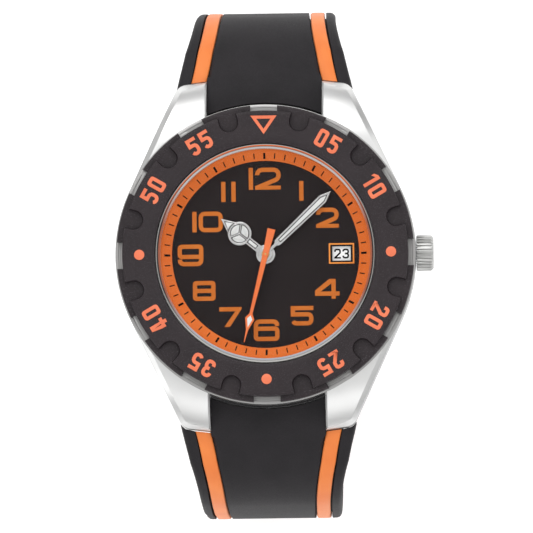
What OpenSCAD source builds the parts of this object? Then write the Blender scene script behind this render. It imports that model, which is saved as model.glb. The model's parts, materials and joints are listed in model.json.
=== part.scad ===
// Quartz dive watch on a two-colour rubber strap, buckled in a closed loop.
// The origin is the centre of the case back's outer face, on the axis of the hands.
// +Z points out of the dial, +Y to 12 o'clock and +X to the crown at 3 o'clock.

/* [Case] */
// Radius of the round case middle
case_r = 20.2; // [20.15:0.05:20.3]
// Height of the flat top of the case middle, under the bezel
case_top = 7.35; // [7.3:0.01:7.36]
// Height of the underside of the case middle
case_bottom = 0.7; // [0.6:0.05:0.8]
// Distance between the inner faces of the lugs
lug_gap = 15.5; // [15.4:0.05:15.6]
// Distance of the lug ends from the centre, along Y
lug_reach = 23.6; // [23.5:0.05:23.7]
// Height of the lug ends above the case back
lug_tip_top = 3.3; // [3.2:0.05:3.5]

/* [Bezel] */
// Outer radius of the bezel's lower tier
bezel_r = 20.0; // [19.95:0.01:20.05]
// Outer radius of the bezel's upper tier
bezel_upper_r = 19.2; // [19.1:0.05:19.3]
// Height of the bezel's top face
bezel_top = 10.0; // [9.95:0.01:10.05]
// Height of the step between the two tiers
bezel_step = 9.2; // [9.1:0.05:9.3]
// Number of notches, and of finger scoops, round the bezel
bezel_grips = 12; // [12]
// Width of one notch in the lower tier
notch_w = 3.65; // [3.5:0.05:3.8]
// Number of click teeth under the bezel
click_teeth = 120; // [120]

/* [Crystal and flange] */
// Radius of the crystal
crystal_r = 14.1; // [14.05:0.01:14.11]
// Height of the crystal's top face
crystal_top = 10.3; // [10.2:0.05:10.4]
// Height of the crystal's underside
crystal_bottom = 8.5; // [8.48:0.01:8.55]
// Inner radius of the minute flange at the dial
flange_in_r = 12.6; // [12.5:0.05:12.7]

/* [Dial and hands] */
// Height of the dial's top face
dial_top = 6.95; // [6.92:0.01:6.97]
// Stroke width of the hour numerals
numeral_stroke = 0.57; // [0.52:0.01:0.64]
// Distance of the date window from the centre
date_x = 10.2; // [10.15:0.01:10.25]
// Hour hand's angle, clockwise from 12
hour_angle = 309.3; // [0:0.1:360]
// Minute hand's angle, clockwise from 12
minute_angle = 46.7; // [0:0.1:360]
// Second hand's angle, clockwise from 12
second_angle = 194.3; // [0:0.1:360]
// Day of the month that shows in the window
shown_date = 23; // [1:1:31]

/* [Crown] */
// Radius of the crown
crown_r = 2.4; // [2.35:0.01:2.42]
// Distance of the crown's outer end from the centre
crown_end = 22.55; // [22.5:0.01:22.6]
// Number of flutes round the crown
crown_flutes = 28; // [24:2:32]
// Height of the stem's axis
stem_z = 4.9; // [4.88:0.01:4.92]

/* [Strap] */
// Strap thickness at the lugs
strap_t = 2.5; // [2.4:0.05:2.6]
// Strap thickness at the buckle
strap_end_t = 2.0; // [1.98:0.01:2.02]
// Half width of the strap at the lug ends
strap_lug_half = 11.9; // [11.8:0.05:12]
// Half width of the strap away from the lugs
strap_half = 9.2; // [9.1:0.05:9.25]
// Half length of the loop's inside, along Y
loop_reach = 31.9; // [31.5:0.1:32.5]
// Depth of the loop's inside below the case back
loop_depth = 45; // [44:0.5:47]
// Distance between two adjustment holes
hole_pitch = 6.5; // [6.3:0.1:6.7]

/* [Buckle] */
// Distance of the buckle bar from the centre, towards 6 o'clock
buckle_bar_y = 2.6; // [2.5:0.05:2.7]
// Distance of the buckle's front bar from the centre
front_bar_y = 15.6; // [15.5:0.05:15.8]
// Wall thickness of the two strap keepers
keeper_t = 1.1; // [1:0.05:1.2]

/* [Hidden] */
$fn = 96;

// Colours
steel = [0.78, 0.78, 0.77];
brass = [0.80, 0.66, 0.34];
black = [0.15, 0.14, 0.15];
rubber = [0.20, 0.19, 0.20];
orange = [0.91, 0.46, 0.20];
salmon = [0.90, 0.49, 0.36];
lume = [0.86, 0.88, 0.87];
board_green = [0.10, 0.35, 0.22];
copper = [0.72, 0.40, 0.22];

// Gap between pieces that sit in each other, and between pieces that turn
fit = 0.02;
run = 0.05;
eps = 0.5;

// Case: the flank line touches the round middle at this angle from +X
flank_angle = 25.25;
lug_corner = [10.19, 21.38];
lug_corner_r = 1.9;
lug_end_angle = 82.8;
lug_crown_y = 15.5;
lug_bottom = 0.9;
bar_y = 21.2;
bar_z = 2.2;

// Radii and heights inside the case
thread_r = 15.8;
cavity_r = 15.0;
bore_r = 14.4;
collar_r = 16.0;
rim_r = 14.72;
collar_top = 8.9;
rim_top = 9.9;
back_t = 1.0;
skirt_top = 2.4;
crystal_seat = 8.45;

// Bezel
bezel_bottom = case_top + run;
bezel_bore_r = rim_r + run;
click_root_r = 17.9;
click_tip_r = 17.6;
scoop_r = 1.3;
scoop_centre_r = 18.1;
mark_t = 0.05;

// Movement levels, from the case back upwards
plate_bottom = 4.8;
plate_top = 5.7;
plate_r = 12.8;
dial_bottom = 6.6;
bridge_bottom = 2.45;
bridge_top = 2.75;

// Movement train: teeth and modules of each pair, and where its axes stand
rotor_mod = 0.1;
rotor_teeth = 6;
fifth_teeth = 36;
fourth_mod = 0.125;
fifth_pinion_teeth = 8;
fourth_teeth = 40;
third_mod = 0.09;
fourth_pinion_teeth = 8;
third_teeth = 60;
center_mod = 0.085;
third_pinion_teeth = 8;
center_teeth = 64;
motion_mod = 0.1;
cannon_teeth = 12;
minute_teeth = 36;
hour_mod = 0.096;
minute_pinion_teeth = 10;
hour_teeth = 40;
date_mod = 0.19;
hour_pinion_teeth = 16;
date_wheel_teeth = 32;
setting_teeth = 20;

function polar(r, a) = [r * cos(a), r * sin(a)];
function spacing(mod, a, b) = mod * (a + b) / 2;

fifth_dir = 120;
rotor_dir = 150;
third_dir = 250;
minute_dir = 60;
setting_dir = -15;
date_dir = 120;
fifth_pos = polar(spacing(fourth_mod, fifth_pinion_teeth, fourth_teeth), fifth_dir);
rotor_pos = fifth_pos + polar(spacing(rotor_mod, rotor_teeth, fifth_teeth), rotor_dir);
third_pos = polar(spacing(third_mod, fourth_pinion_teeth, third_teeth), third_dir);
minute_pos = polar(spacing(motion_mod, cannon_teeth, minute_teeth), minute_dir);
setting_pos = minute_pos + polar(spacing(motion_mod, minute_teeth, setting_teeth), setting_dir);
date_pos = polar(spacing(date_mod, hour_pinion_teeth, date_wheel_teeth), date_dir);

arbor_r = 0.1;
tube_r = 0.5;
tube_bore_r = 0.2;
second_arbor_r = 0.13;
pipe_r = 0.75;

// Motor and electronics
rotor_angle = atan2(rotor_pos.y, rotor_pos.x);
coil_distance = 8.3;
coil_length = 9.6;
coil_r = 0.93;
coil_z = 3.85;
stator_z = 3.7;
stator_t = 0.35;
battery_pos = [5.6, -6.0];
battery_r = 3.4;
battery_bottom = 2.15;
battery_top = 4.75;
clamp_screws = [[1.4, -9.6], [10.0, -4.6]];
clamp_z = 1.98;
clamp_t = 0.15;
bridge_screws = [[-4.2, -4.4], [2.6, 3.5], [-6.5, 0.5]];
pillar_r = 0.75;
screw_r = 0.4;

// Setting work
lever_pivot = [9.95, -2.6];
lever_pin_travel = 1.1;
lever_rest = asin(lever_pin_travel / 2 / -lever_pivot.y);
groove_x = lever_pivot.x - lever_pin_travel / 2;
pinion_x = [5.6, 6.9];
stem_r = 0.45;

// Strap loop: the inner surface turns through these headings, measured down from +Y
heading_start = 8;
heading_side = 80;
heading_low = 95;
side_bend_r = 75;
loop_start = [20.3, 1.15];
layer_gap = 0.15;
tail_heading = 117;
cross_from = 12.4;
cross_to = 4.2;
stripe_in = [lug_gap / 2, 5.65];
stripe_out = [9.75, 7.45];
stripe_depth = 0.8;
flare_length = 10.7;

top_bend_r = (loop_reach - loop_start.x - side_bend_r * (1 - sin(heading_side)))
    / (sin(heading_side) - sin(heading_start));

// A point at p moves along a bend of radius r from heading a to heading b
function bend(p, r, a, b) = [p.x + r * (sin(b) - sin(a)), p.y + r * (cos(b) - cos(a))];
side_start = bend(loop_start, top_bend_r, heading_start, heading_side);
low_start = bend(side_start, side_bend_r, heading_side, heading_low);
low_bend_r = (loop_depth + low_start.y) / (1 + cos(heading_low));
flat_y = low_start.x - low_bend_r * sin(heading_low);

// Inner surface of the loop at a heading, and a point at distance d outside it
function loop_point(h) =
    h <= heading_side ? bend(loop_start, top_bend_r, heading_start, h)
    : h <= heading_low ? bend(side_start, side_bend_r, heading_side, h)
    : bend(low_start, low_bend_r, heading_low, h);
function off_loop(h, d) = loop_point(h) + d * [sin(h), cos(h)];
function thickness(h) =
    h <= heading_low ? strap_t
    : strap_t + (strap_end_t - strap_t) * (h - heading_low) / (180 - heading_low);
headings = concat(
    [for (h = [heading_start : 6 : heading_side]) h],
    [for (h = [heading_side + 5 : 5 : heading_low - 5]) h],
    [for (h = [heading_low : 5 : 180]) h]
);
tail_headings = [for (h = [180 : -7 : tail_heading]) h];

inner_z = -loop_depth;
layer_z = inner_z - strap_end_t - layer_gap;
outer_z = layer_z - strap_end_t;
floor_z = outer_z - 0.1 - keeper_t;
bar_centre = [-buckle_bar_y, inner_z - strap_end_t / 2];

function smooth(t) = t <= 0 ? 0 : t >= 1 ? 1 : t * t * (3 - 2 * t);
function reversed(list) = [for (i = [len(list) - 1 : -1 : 0]) list[i]];
function mirrored(list) = [for (p = list) [-p.x, p.y]];
function arc(c, r, a, b, n) = [for (i = [0 : n]) c + polar(r, a + (b - a) * i / n)];

// ---- Shared shapes -------------------------------------------------------

module disc(r, z0, z1) {
    translate([0, 0, z0])
        cylinder(r = r, h = z1 - z0);
}

module ring(r_out, r_in, z0, z1) {
    difference() {
        disc(r_out, z0, z1);
        disc(r_in, z0 - eps, z1 + eps);
    }
}

module plate(z0, z1) {
    translate([0, 0, z0])
        linear_extrude(z1 - z0)
            children();
}

// Extrudes a side view, drawn with Y to the right and Z up, from x0 to x1
module side_plate(x0, x1) {
    translate([x0, 0, 0])
        rotate([90, 0, 90])
            linear_extrude(x1 - x0)
                children();
}

module both_sides() {
    children();
    mirror([1, 0, 0])
        children();
}

module x_rod(r, x0, x1, y, z) {
    translate([x0, y, z])
        rotate([0, 90, 0])
            cylinder(r = r, h = x1 - x0);
}

module rect(x0, y0, x1, y1) {
    translate([x0, y0])
        square([x1 - x0, y1 - y0]);
}

// Corner points of a rectangle rounded with radius r, n steps round each corner
function rounded_points(w, h, r, n) = [
    for (k = [[1, 1, 0], [-1, 1, 90], [-1, -1, 180], [1, -1, 270]])
        for (p = arc([k[0] * (w / 2 - r), k[1] * (h / 2 - r)], r, k[2], k[2] + 90, n))
            p
];

// ---- Gears ---------------------------------------------------------------

function gear_points(teeth, mod, phase) =
    let (root = mod * (teeth / 2 - 1.2), tip = mod * (teeth / 2 + 0.9), pitch = 360 / teeth)
    [for (i = [0 : teeth - 1], k = [[root, -0.32], [tip, -0.12], [tip, 0.12], [root, 0.32]])
        polar(k[0], phase + (i + k[1]) * pitch)];

// Phase of gear b that puts its gaps on the teeth of gear a, which lies the other way along dir
function mesh_phase(dir, phase_a, teeth_a, teeth_b) =
    dir + 180 - (180 - (dir - phase_a) * teeth_a) / teeth_b;

module gear(teeth, mod, phase, z0, z1) {
    plate(z0, z1)
        polygon(gear_points(teeth, mod, phase));
}

// ---- Numerals ------------------------------------------------------------

function unit(v) = v / norm(v);
function left_of(v) = [-v.y, v.x];
function corner_offset(n1, n2, d) = let (m = unit(n1 + n2)) m * d / (m * n1);

// Points at distance d to the left of an open line
function side_points(p, d) = [
    for (i = [0 : len(p) - 1])
        let (
            n1 = left_of(unit(p[max(i, 1)] - p[max(i, 1) - 1])),
            j = min(i + 1, len(p) - 1),
            n2 = left_of(unit(p[j] - p[j - 1]))
        )
        p[i] + corner_offset(n1, n2, d)
];

module stroke(p, s) {
    polygon(concat(side_points(p, s / 2), reversed(side_points(p, -s / 2))));
}

// Centre line of a corner of radius r, turning from angle a to angle b about its centre
function turn(x, y, r, a, b) = arc([x, y], r, a, b, 3);

// Digits fill a box of width w and height h, centred on the origin, with stroke width s
module digit_0(w, h, s) {
    r = min(w, h) * 0.28;
    difference() {
        polygon(rounded_points(w, h, r, 3));
        polygon(rounded_points(w - 2 * s, h - 2 * s, max(r - s, s * 0.15), 2));
    }
}

module digit_1(w, h, s) {
    square([s, h], center = true);
}

module digit_2(w, h, s) {
    a = (w - s) / 2;
    b = (h - s) / 2;
    r = min(a, b) * 0.55;
    stroke(concat(
        [[-a, b - h * 0.24]],
        turn(-a + r, b - r, r, 180, 90),
        turn(a - r, b - r, r, 90, 0),
        turn(a - r, h * 0.14, r, 0, -58),
        [[-a, -b]]
    ), s);
    rect(-w / 2, -h / 2, w / 2, -h / 2 + s * 0.9);
}

module digit_3(w, h, s) {
    a = (w - s) / 2;
    b = (h - s) / 2;
    r = min(a, b / 2) * 0.8;
    for (m = [0, 1])
        mirror([0, m])
            stroke(concat(
                [[-a, b - h * 0.2]],
                turn(-a + r, b - r, r, 180, 90),
                turn(a - r, b - r, r, 90, 0),
                turn(a - r, r, r, 0, -90),
                [[-a * 0.3, 0]]
            ), s);
}

module digit_4(w, h, s) {
    v = w / 2 - s * 0.9;
    bar = -h * 0.24;
    difference() {
        polygon([[v, -h / 2], [v, h / 2], [v - s * 1.5, h / 2], [-w / 2, bar + s * 0.75],
            [-w / 2, bar - s / 2], [v - s, bar - s / 2], [v - s, -h / 2]]);
        polygon([[v - s, h / 2 - s * 1.05], [v - s, bar + s / 2], [-w / 2 + s * 1.3, bar + s / 2]]);
    }
    rect(v - s / 2, bar - s / 2, w / 2, bar + s / 2);
}

module digit_5(w, h, s) {
    a = (w - s) / 2;
    b = (h - s) / 2;
    m = h * 0.07;
    r = min(a, b / 2) * 0.9;
    stroke(concat(
        [[w / 2, b], [-a, b], [-a, m]],
        turn(a - r, m - r, r, 90, 0),
        turn(a - r, -b + r, r, 0, -90),
        turn(-a + r, -b + r, r, -90, -160)
    ), s);
}

module digit_6(w, h, s) {
    a = (w - s) / 2;
    b = (h - s) / 2;
    r = min(a, b / 2) * 0.9;
    bowl = h * 0.57 + s / 2;
    translate([0, (bowl - h) / 2])
        digit_0(w, bowl, s);
    stroke(concat(
        turn(a - r, b - r, r, -10, 90),
        turn(-a + r, b - r, r, 90, 180),
        [[-a, -b / 2]]
    ), s * 0.999);
}

module digit_7(w, h, s) {
    polygon([[-w / 2, h / 2], [w / 2, h / 2], [w / 2, h / 2 - s * 0.5], [-w * 0.03, -h / 2],
        [-w * 0.275, -h / 2], [w * 0.22, h / 2 - s], [-w / 2, h / 2 - s]]);
}

module digit_8(w, h, s) {
    for (y = [-1, 1])
        translate([0, y * (h - s) / 4])
            digit_0(w, (h + s) / 2, s);
}

module digit_9(w, h, s) {
    rotate(180)
        digit_6(w, h, s);
}

module digit(d, w, h, s) {
    if (d == 0) digit_0(w, h, s);
    if (d == 1) digit_1(w, h, s);
    if (d == 2) digit_2(w, h, s);
    if (d == 3) digit_3(w, h, s);
    if (d == 4) digit_4(w, h, s);
    if (d == 5) digit_5(w, h, s);
    if (d == 6) digit_6(w, h, s);
    if (d == 7) digit_7(w, h, s);
    if (d == 8) digit_8(w, h, s);
    if (d == 9) digit_9(w, h, s);
}

// Two digits side by side, with a bar for each 1
module digit_pair(d, w, h, s, gap) {
    w1 = d[0] == 1 ? s : w;
    w2 = d[1] == 1 ? s : w;
    total = w1 + gap + w2;
    translate([(w1 - total) / 2, 0])
        digit(d[0], w1, h, s);
    translate([(total - w2) / 2, 0])
        digit(d[1], w2, h, s);
}

// ---- Case ----------------------------------------------------------------

module lug_plan() {
    polygon(concat(
        [[lug_gap / 2, lug_crown_y], [lug_gap / 2, lug_reach]],
        arc(lug_corner, lug_corner_r, lug_end_angle, flank_angle, 8),
        [polar(case_r, flank_angle), [lug_gap / 2, 5]]
    ));
}

module lug_profile() {
    drop = case_top - lug_tip_top;
    run_out = lug_reach - lug_crown_y;
    r = (run_out * run_out + drop * drop) / (2 * drop);
    end = asin(run_out / r);
    polygon(concat(
        arc([lug_crown_y, case_top - r], r, 90, 90 - end, 10),
        [[lug_reach, lug_bottom + 0.8], [lug_reach - 0.8, lug_bottom], [16, case_bottom],
            [0, case_bottom], [0, case_top]]
    ));
}

module lugs() {
    for (a = [0, 1])
        mirror([0, a, 0])
            both_sides()
                intersection() {
                    plate(0, case_top)
                        lug_plan();
                    side_plate(0, case_r)
                        lug_profile();
                }
}

module case_body() {
    color(steel)
    difference() {
        union() {
            translate([0, 0, case_bottom])
                cylinder(r1 = case_r - 1.6, r2 = case_r, h = 1.5);
            disc(case_r, case_bottom + 1.5, case_top);
            lugs();
            disc(collar_r, case_top - eps, collar_top);
            disc(rim_r, collar_top - eps, rim_top);
        }
        // Case back seat, thread and the movement's room
        disc(17.05, 0, back_t + fit);
        disc(thread_r, 0, skirt_top + run);
        disc(cavity_r, 0, dial_bottom);
        disc(bore_r, 0, rim_top + 1);
        ring(16.8, 16.1, 0, back_t + 0.6);
        // Groove of the bezel's retaining wire
        ring(collar_r + eps, collar_r - 0.25, 8.15, 8.55);
        // Crown tube's hole and the spring bars' holes
        x_rod(1.12, cavity_r - 1, case_r + 1, 0, stem_z);
        for (y = [-bar_y, bar_y])
            x_rod(0.5, -9.2, 9.2, y, bar_z);
    }
}

module case_back() {
    color(steel)
    difference() {
        union() {
            disc(17, 0, back_t);
            ring(thread_r - fit, 14.6, back_t - eps, skirt_top);
        }
        // Six notches for the opening key
        for (i = [0 : 5])
            rotate(i * 60)
                translate([15.6, -1.1, -eps])
                    cube([2, 2.2, eps + 0.6]);
        // Shallow turned recess in the outer face
        ring(14.2, 13.8, -eps, 0.12);
    }
}

module case_back_gasket() {
    color(black)
    ring(16.75, 16.15, back_t, back_t + 0.55);
}

module crystal() {
    color([0.85, 0.92, 0.95, 0.35])
    rotate_extrude()
        polygon([[0, crystal_bottom], [crystal_r, crystal_bottom], [crystal_r, crystal_top - 0.3],
            [crystal_r - 0.3, crystal_top], [0, crystal_top]]);
}

module crystal_gasket() {
    color([0.88, 0.88, 0.86])
    ring(bore_r - fit, crystal_r + fit, crystal_bottom, rim_top - 0.15);
}

// ---- Bezel ---------------------------------------------------------------

module bezel_ring() {
    color(black)
    difference() {
        union() {
            disc(bezel_r, bezel_bottom, bezel_step);
            rotate_extrude()
                polygon([[0, bezel_step - 0.1], [bezel_upper_r, bezel_step - 0.1],
                    [bezel_upper_r, bezel_top - 0.2], [bezel_upper_r - 0.2, bezel_top],
                    [0, bezel_top]]);
        }
        disc(bezel_bore_r, 0, bezel_top + 1);
        disc(collar_r + run, 0, collar_top + run);
        ring(16.36, 15, 8.15, 8.55);
        // Ring of click teeth under the bezel
        plate(bezel_bottom - eps, 8)
            polygon([for (i = [0 : click_teeth - 1], k = [[click_tip_r, 0], [click_root_r, 0.5]])
                polar(k[0], (i + k[1]) * 360 / click_teeth)]);
        difference() {
            for (i = [0 : bezel_grips - 1])
                rotate(i * 360 / bezel_grips)
                    translate([bezel_upper_r - 1, -notch_w / 2, bezel_bottom - eps])
                        cube([3, notch_w, bezel_step - bezel_bottom + eps]);
            disc(bezel_upper_r, bezel_bottom - 1, bezel_step + 1);
        }
        for (i = [0 : bezel_grips - 1])
            rotate((i + 0.5) * 360 / bezel_grips)
                plate(bezel_step, bezel_top + eps) {
                    translate([scoop_centre_r, 0])
                        circle(scoop_r);
                    rect(scoop_centre_r, -scoop_r, bezel_r, scoop_r);
                }
    }
}

// Places children at a minute mark, with their top towards the rim
module at_minute(m, r) {
    rotate(-m * 6)
        translate([0, r])
            children();
}

module bezel_markings() {
    numbers = [[5, [0, 5]], [10, [1, 0]], [20, [2, 0]], [25, [2, 5]],
        [35, [3, 5]], [40, [4, 0]], [50, [5, 0]], [55, [5, 5]]];
    color(salmon)
    plate(bezel_top, bezel_top + mark_t) {
        for (n = numbers)
            at_minute(n[0], 17.2)
                digit_pair(n[1], 1.4, 2.45, 0.48, 0.5);
        for (m = [15, 30, 45])
            at_minute(m, 16.9)
                circle(0.69);
        at_minute(0, 18.5)
            difference() {
                polygon([[-1.765, 0], [1.765, 0], [0, -2.5]]);
                polygon([[-0.96, -0.42], [0.96, -0.42], [0, -1.78]]);
            }
    }
}

module bezel_click_spring() {
    color(steel) {
        difference() {
            ring(17.1, 16.3, case_top, case_top + 0.35);
            plate(case_top - eps, case_top + 1)
                rect(-18, 12, 18, 18);
        }
        // The tip of the spring reaches towards the teeth
        rotate(-24)
            plate(case_top, case_top + 0.35)
                rect(16.8, -0.25, click_tip_r - run, 0.25);
    }
}

module bezel_retaining_wire() {
    color(steel)
    difference() {
        ring(16.3, collar_r - 0.2, 8.2, 8.5);
        plate(8, 9)
            rect(15, -1, 17, 1);
    }
}

// ---- Dial side -----------------------------------------------------------

flange_slope = [[flange_in_r, dial_top + 0.05], [13.9, crystal_seat - 0.1]];

module minute_flange() {
    color(orange)
    rotate_extrude()
        polygon([flange_slope[0], flange_slope[1], [13.95, crystal_seat], [bore_r - run, crystal_seat],
            [bore_r - run, dial_top], [flange_in_r, dial_top]]);
}

// Point on the flange's slope at radius r, raised by d
function on_flange(r, d) =
    let (a = flange_slope[0], b = flange_slope[1], u = unit(b - a))
    a + u * (r - a.x) / u.x + left_of(u) * d;

module flange_ticks() {
    color(black)
    intersection() {
        rotate_extrude()
            polygon([on_flange(12.85, 0), on_flange(13.6, 0), on_flange(13.6, 0.03),
                on_flange(12.85, 0.03)]);
        for (i = [0 : 59])
            rotate(i * 6)
                plate(dial_top, crystal_seat + 1)
                    rect(i % 5 == 0 ? 12.6 : 12.9, i % 5 == 0 ? -0.14 : -0.07,
                        14, i % 5 == 0 ? 0.14 : 0.07);
    }
}

window_size = [2.46, 1.93];
frame_size = [3.42, 2.76];
frame_line = 0.2;

module dial() {
    color(black)
    difference() {
        union() {
            disc(bore_r - run, dial_bottom, dial_top);
            // Two feet hold the dial to the movement
            for (a = [75, 255])
                rotate(a)
                    translate([12.5, 0, dial_bottom - 0.7])
                        cylinder(r = 0.2, h = 0.8);
        }
        disc(0.95, 0, dial_top + 1);
        translate([date_x, 0, dial_bottom - eps])
            linear_extrude(2)
                square(window_size, center = true);
    }
}

// Hour numerals: the hour, its digits, its distance from the centre and its digits' size
hour_numerals = [
    [1, [1], 9.8, 0.62, 2.66], [2, [2], 9.65, 3.05, 2.7], [4, [4], 9.5, 3.29, 2.66],
    [5, [5], 9.6, 3.03, 2.62], [6, [6], 10.2, 3.45, 2.91], [7, [7], 9.65, 2.99, 2.66],
    [8, [8], 9.6, 3.05, 2.68], [9, [9], 10.1, 3.45, 2.91], [10, [1, 0], 8.95, 3.25, 2.76],
    [11, [1, 1], 9.8, 0.62, 2.7], [12, [1, 2], 10.2, 3.45, 2.95]
];

module dial_numerals() {
    color(orange)
    plate(dial_top, dial_top + 0.06)
        for (n = hour_numerals)
            translate(polar(n[2], 90 - n[0] * 30))
                if (len(n[1]) == 1)
                    digit(n[1][0], n[3], n[4], numeral_stroke);
                else
                    digit_pair(n[1], n[3], n[4], numeral_stroke, n[0] == 11 ? 0.8 : 0.28);
}

module date_window_frame() {
    color(orange)
    translate([date_x, 0, dial_top])
        linear_extrude(0.05)
            difference() {
                square(frame_size, center = true);
                square(frame_size - 2 * [frame_line, frame_line], center = true);
            }
}

// ---- Hands, drawn pointing to 12 and turned to the time --------------------

hour_hand_z = [7.15, 7.3];
minute_hand_z = [7.55, 7.68];
second_hand_z = [7.95, 8.06];
hour_eye_y = 4.47;

module at_time(angle) {
    rotate(-angle)
        children();
}

module hour_hand_outline() {
    circle(1.28);
    rect(-0.52, 0.9, 0.52, 3.2);
    translate([0, hour_eye_y])
        circle(1.6);
    polygon([[-1.3, 4.9], [1.3, 4.9], [0, 7.72]]);
}

module hour_hand_windows() {
    difference() {
        union() {
            rect(-0.3, 1.5, 0.3, 3.3);
            polygon([[-0.85, 5.6], [0.85, 5.6], [0, 7.15]]);
        }
        translate([0, hour_eye_y])
            circle(1.5);
    }
    difference() {
        translate([0, hour_eye_y])
            circle(1.28);
        for (a = [30, 150, 270])
            translate([0, hour_eye_y])
                rotate(a)
                    rect(-0.07, -0.07, 1.5, 0.07);
    }
}

module hour_hand() {
    color(steel)
    at_time(hour_angle)
        plate(hour_hand_z[0], hour_hand_z[1])
            difference() {
                hour_hand_outline();
                hour_hand_windows();
                circle(pipe_r);
            }
}

module hour_hand_lume() {
    color(lume)
    at_time(hour_angle)
        plate(hour_hand_z[0] + 0.02, hour_hand_z[1] - 0.03)
            hour_hand_windows();
}

function both(points) = concat(points, reversed(mirrored(points)));

module minute_hand() {
    color(steel)
    at_time(minute_angle)
        plate(minute_hand_z[0], minute_hand_z[1])
            difference() {
                union() {
                    circle(0.92);
                    polygon(both([[0.19, 0.4], [0.19, 1.85], [0.48, 2.2], [0.62, 10.75],
                        [0.3, 11.45], [0, 12.2]]));
                }
                minute_hand_window();
                circle(tube_r);
            }
}

module minute_hand_window() {
    polygon(both([[0.24, 2.55], [0.4, 10.6], [0, 11.5]]));
}

module minute_hand_lume() {
    color(lume)
    at_time(minute_angle)
        plate(minute_hand_z[0] + 0.02, minute_hand_z[1] - 0.03)
            minute_hand_window();
}

module second_hand() {
    color(orange)
    at_time(second_angle) {
        plate(second_hand_z[0], second_hand_z[1])
            difference() {
                polygon(both([[0.54, -3.46], [0.38, 0], [0.2, 8.25], [0.64, 8.95],
                    [0.15, 10.5], [0.05, 12.2]]));
                second_hand_window();
                circle(second_arbor_r);
            }
        ring(0.34, second_arbor_r, second_hand_z[0] - 0.1, second_hand_z[1] + 0.1);
    }
}

module second_hand_window() {
    polygon([[0, 8.5], [0.36, 9.0], [0, 10.15], [-0.36, 9.0]]);
}

module second_hand_lume() {
    color(lume)
    at_time(second_angle)
        plate(second_hand_z[0] + 0.02, second_hand_z[1] - 0.02)
            second_hand_window();
}

// ---- Train ---------------------------------------------------------------

fifth_phase = mesh_phase(rotor_dir + 180, 0, rotor_teeth, fifth_teeth);
fourth_phase = mesh_phase(fifth_dir + 180, 0, fifth_pinion_teeth, fourth_teeth);
third_phase = mesh_phase(third_dir, 0, fourth_pinion_teeth, third_teeth);
center_phase = mesh_phase(third_dir + 180, 0, third_pinion_teeth, center_teeth);
minute_phase = mesh_phase(minute_dir, 0, cannon_teeth, minute_teeth);
setting_phase = mesh_phase(setting_dir, minute_phase, minute_teeth, setting_teeth);
hour_phase = mesh_phase(minute_dir + 180, 0, minute_pinion_teeth, hour_teeth);
date_phase = mesh_phase(date_dir, 0, hour_pinion_teeth, date_wheel_teeth);

module at(p) {
    translate([p.x, p.y, 0])
        children();
}

module rotor() {
    color([0.35, 0.36, 0.40])
    at(rotor_pos) {
        disc(arbor_r, bridge_bottom + run, plate_bottom + 0.2);
        gear(rotor_teeth, rotor_mod, 0, 2.85, 3.25);
        disc(0.4, 3.25, 3.5);
        disc(1.2, 3.45, 4.25);
    }
}

module fifth_wheel() {
    color(brass)
    at(fifth_pos) {
        disc(arbor_r, bridge_bottom + run, plate_bottom + 0.2);
        gear(fifth_teeth, rotor_mod, fifth_phase, 3.0, 3.12);
        gear(fifth_pinion_teeth, fourth_mod, 0, 3.1, 3.65);
    }
}

module fourth_wheel() {
    color(brass) {
        disc(second_arbor_r, bridge_bottom + run, second_hand_z[1] + 0.05);
        gear(fourth_teeth, fourth_mod, fourth_phase, 3.45, 3.6);
        gear(fourth_pinion_teeth, third_mod, 0, 3.55, 4.1);
    }
}

module third_wheel() {
    color(brass)
    at(third_pos) {
        disc(arbor_r, bridge_bottom + run, plate_bottom + 0.2);
        gear(third_teeth, third_mod, third_phase, 3.8, 3.92);
        gear(third_pinion_teeth, center_mod, 0, 3.9, 4.6);
    }
}

// Centre wheel, its tube and the cannon pinion that carry the minute hand
module center_wheel() {
    color(brass)
    difference() {
        union() {
            disc(tube_r, 4.2, minute_hand_z[1] + 0.05);
            gear(center_teeth, center_mod, center_phase, 4.3, 4.45);
            gear(cannon_teeth, motion_mod, 0, 5.75, 6.0);
        }
        disc(tube_bore_r, 4, 9);
    }
}

module minute_wheel() {
    color(brass)
    at(minute_pos) {
        disc(0.15, plate_top - 0.25, 6.17);
        gear(minute_teeth, motion_mod, minute_phase, 5.8, 5.92);
        gear(minute_pinion_teeth, hour_mod, 0, 5.9, 6.17);
    }
}

module setting_wheel() {
    color(brass)
    at(setting_pos) {
        disc(0.15, plate_top - 0.25, 6.1);
        gear(setting_teeth, motion_mod, setting_phase, 5.8, 5.92);
    }
}

module hour_wheel() {
    color(brass)
    difference() {
        union() {
            gear(hour_teeth, hour_mod, hour_phase, 6.03, 6.15);
            gear(hour_pinion_teeth, date_mod, 0, 6.22, 6.4);
            disc(pipe_r, 6.03, hour_hand_z[1] + 0.05);
        }
        disc(tube_r + run, 5, 9);
    }
}

disc_teeth = 31;
disc_in_r = 8.5;
disc_tooth_r = 8.1;
disc_out_r = 12.1;

module date_driving_wheel() {
    color([0.85, 0.85, 0.80])
    at(date_pos) {
        disc(0.2, plate_top - 0.25, 6.4);
        gear(date_wheel_teeth, date_mod, date_phase, 6.22, 6.38);
        // The finger that pushes the date disc, at rest away from its teeth
        rotate(-30)
            plate(6.22, 6.38)
                rect(2, -0.15, 3.4, 0.15);
    }
}

module date_disc() {
    color([0.93, 0.93, 0.92])
    difference() {
        disc(disc_out_r, 6.2, 6.4);
        plate(6, 7)
            polygon([for (i = [0 : disc_teeth - 1],
                    k = [[disc_in_r, -0.2], [disc_in_r, 0.2], [disc_tooth_r, 0.42], [disc_tooth_r, 0.58]])
                polar(k[0], (i + k[1]) * 360 / disc_teeth)]);
    }
}

date_digit = [0.9, 1.32];
date_stroke = 0.22;

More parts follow.
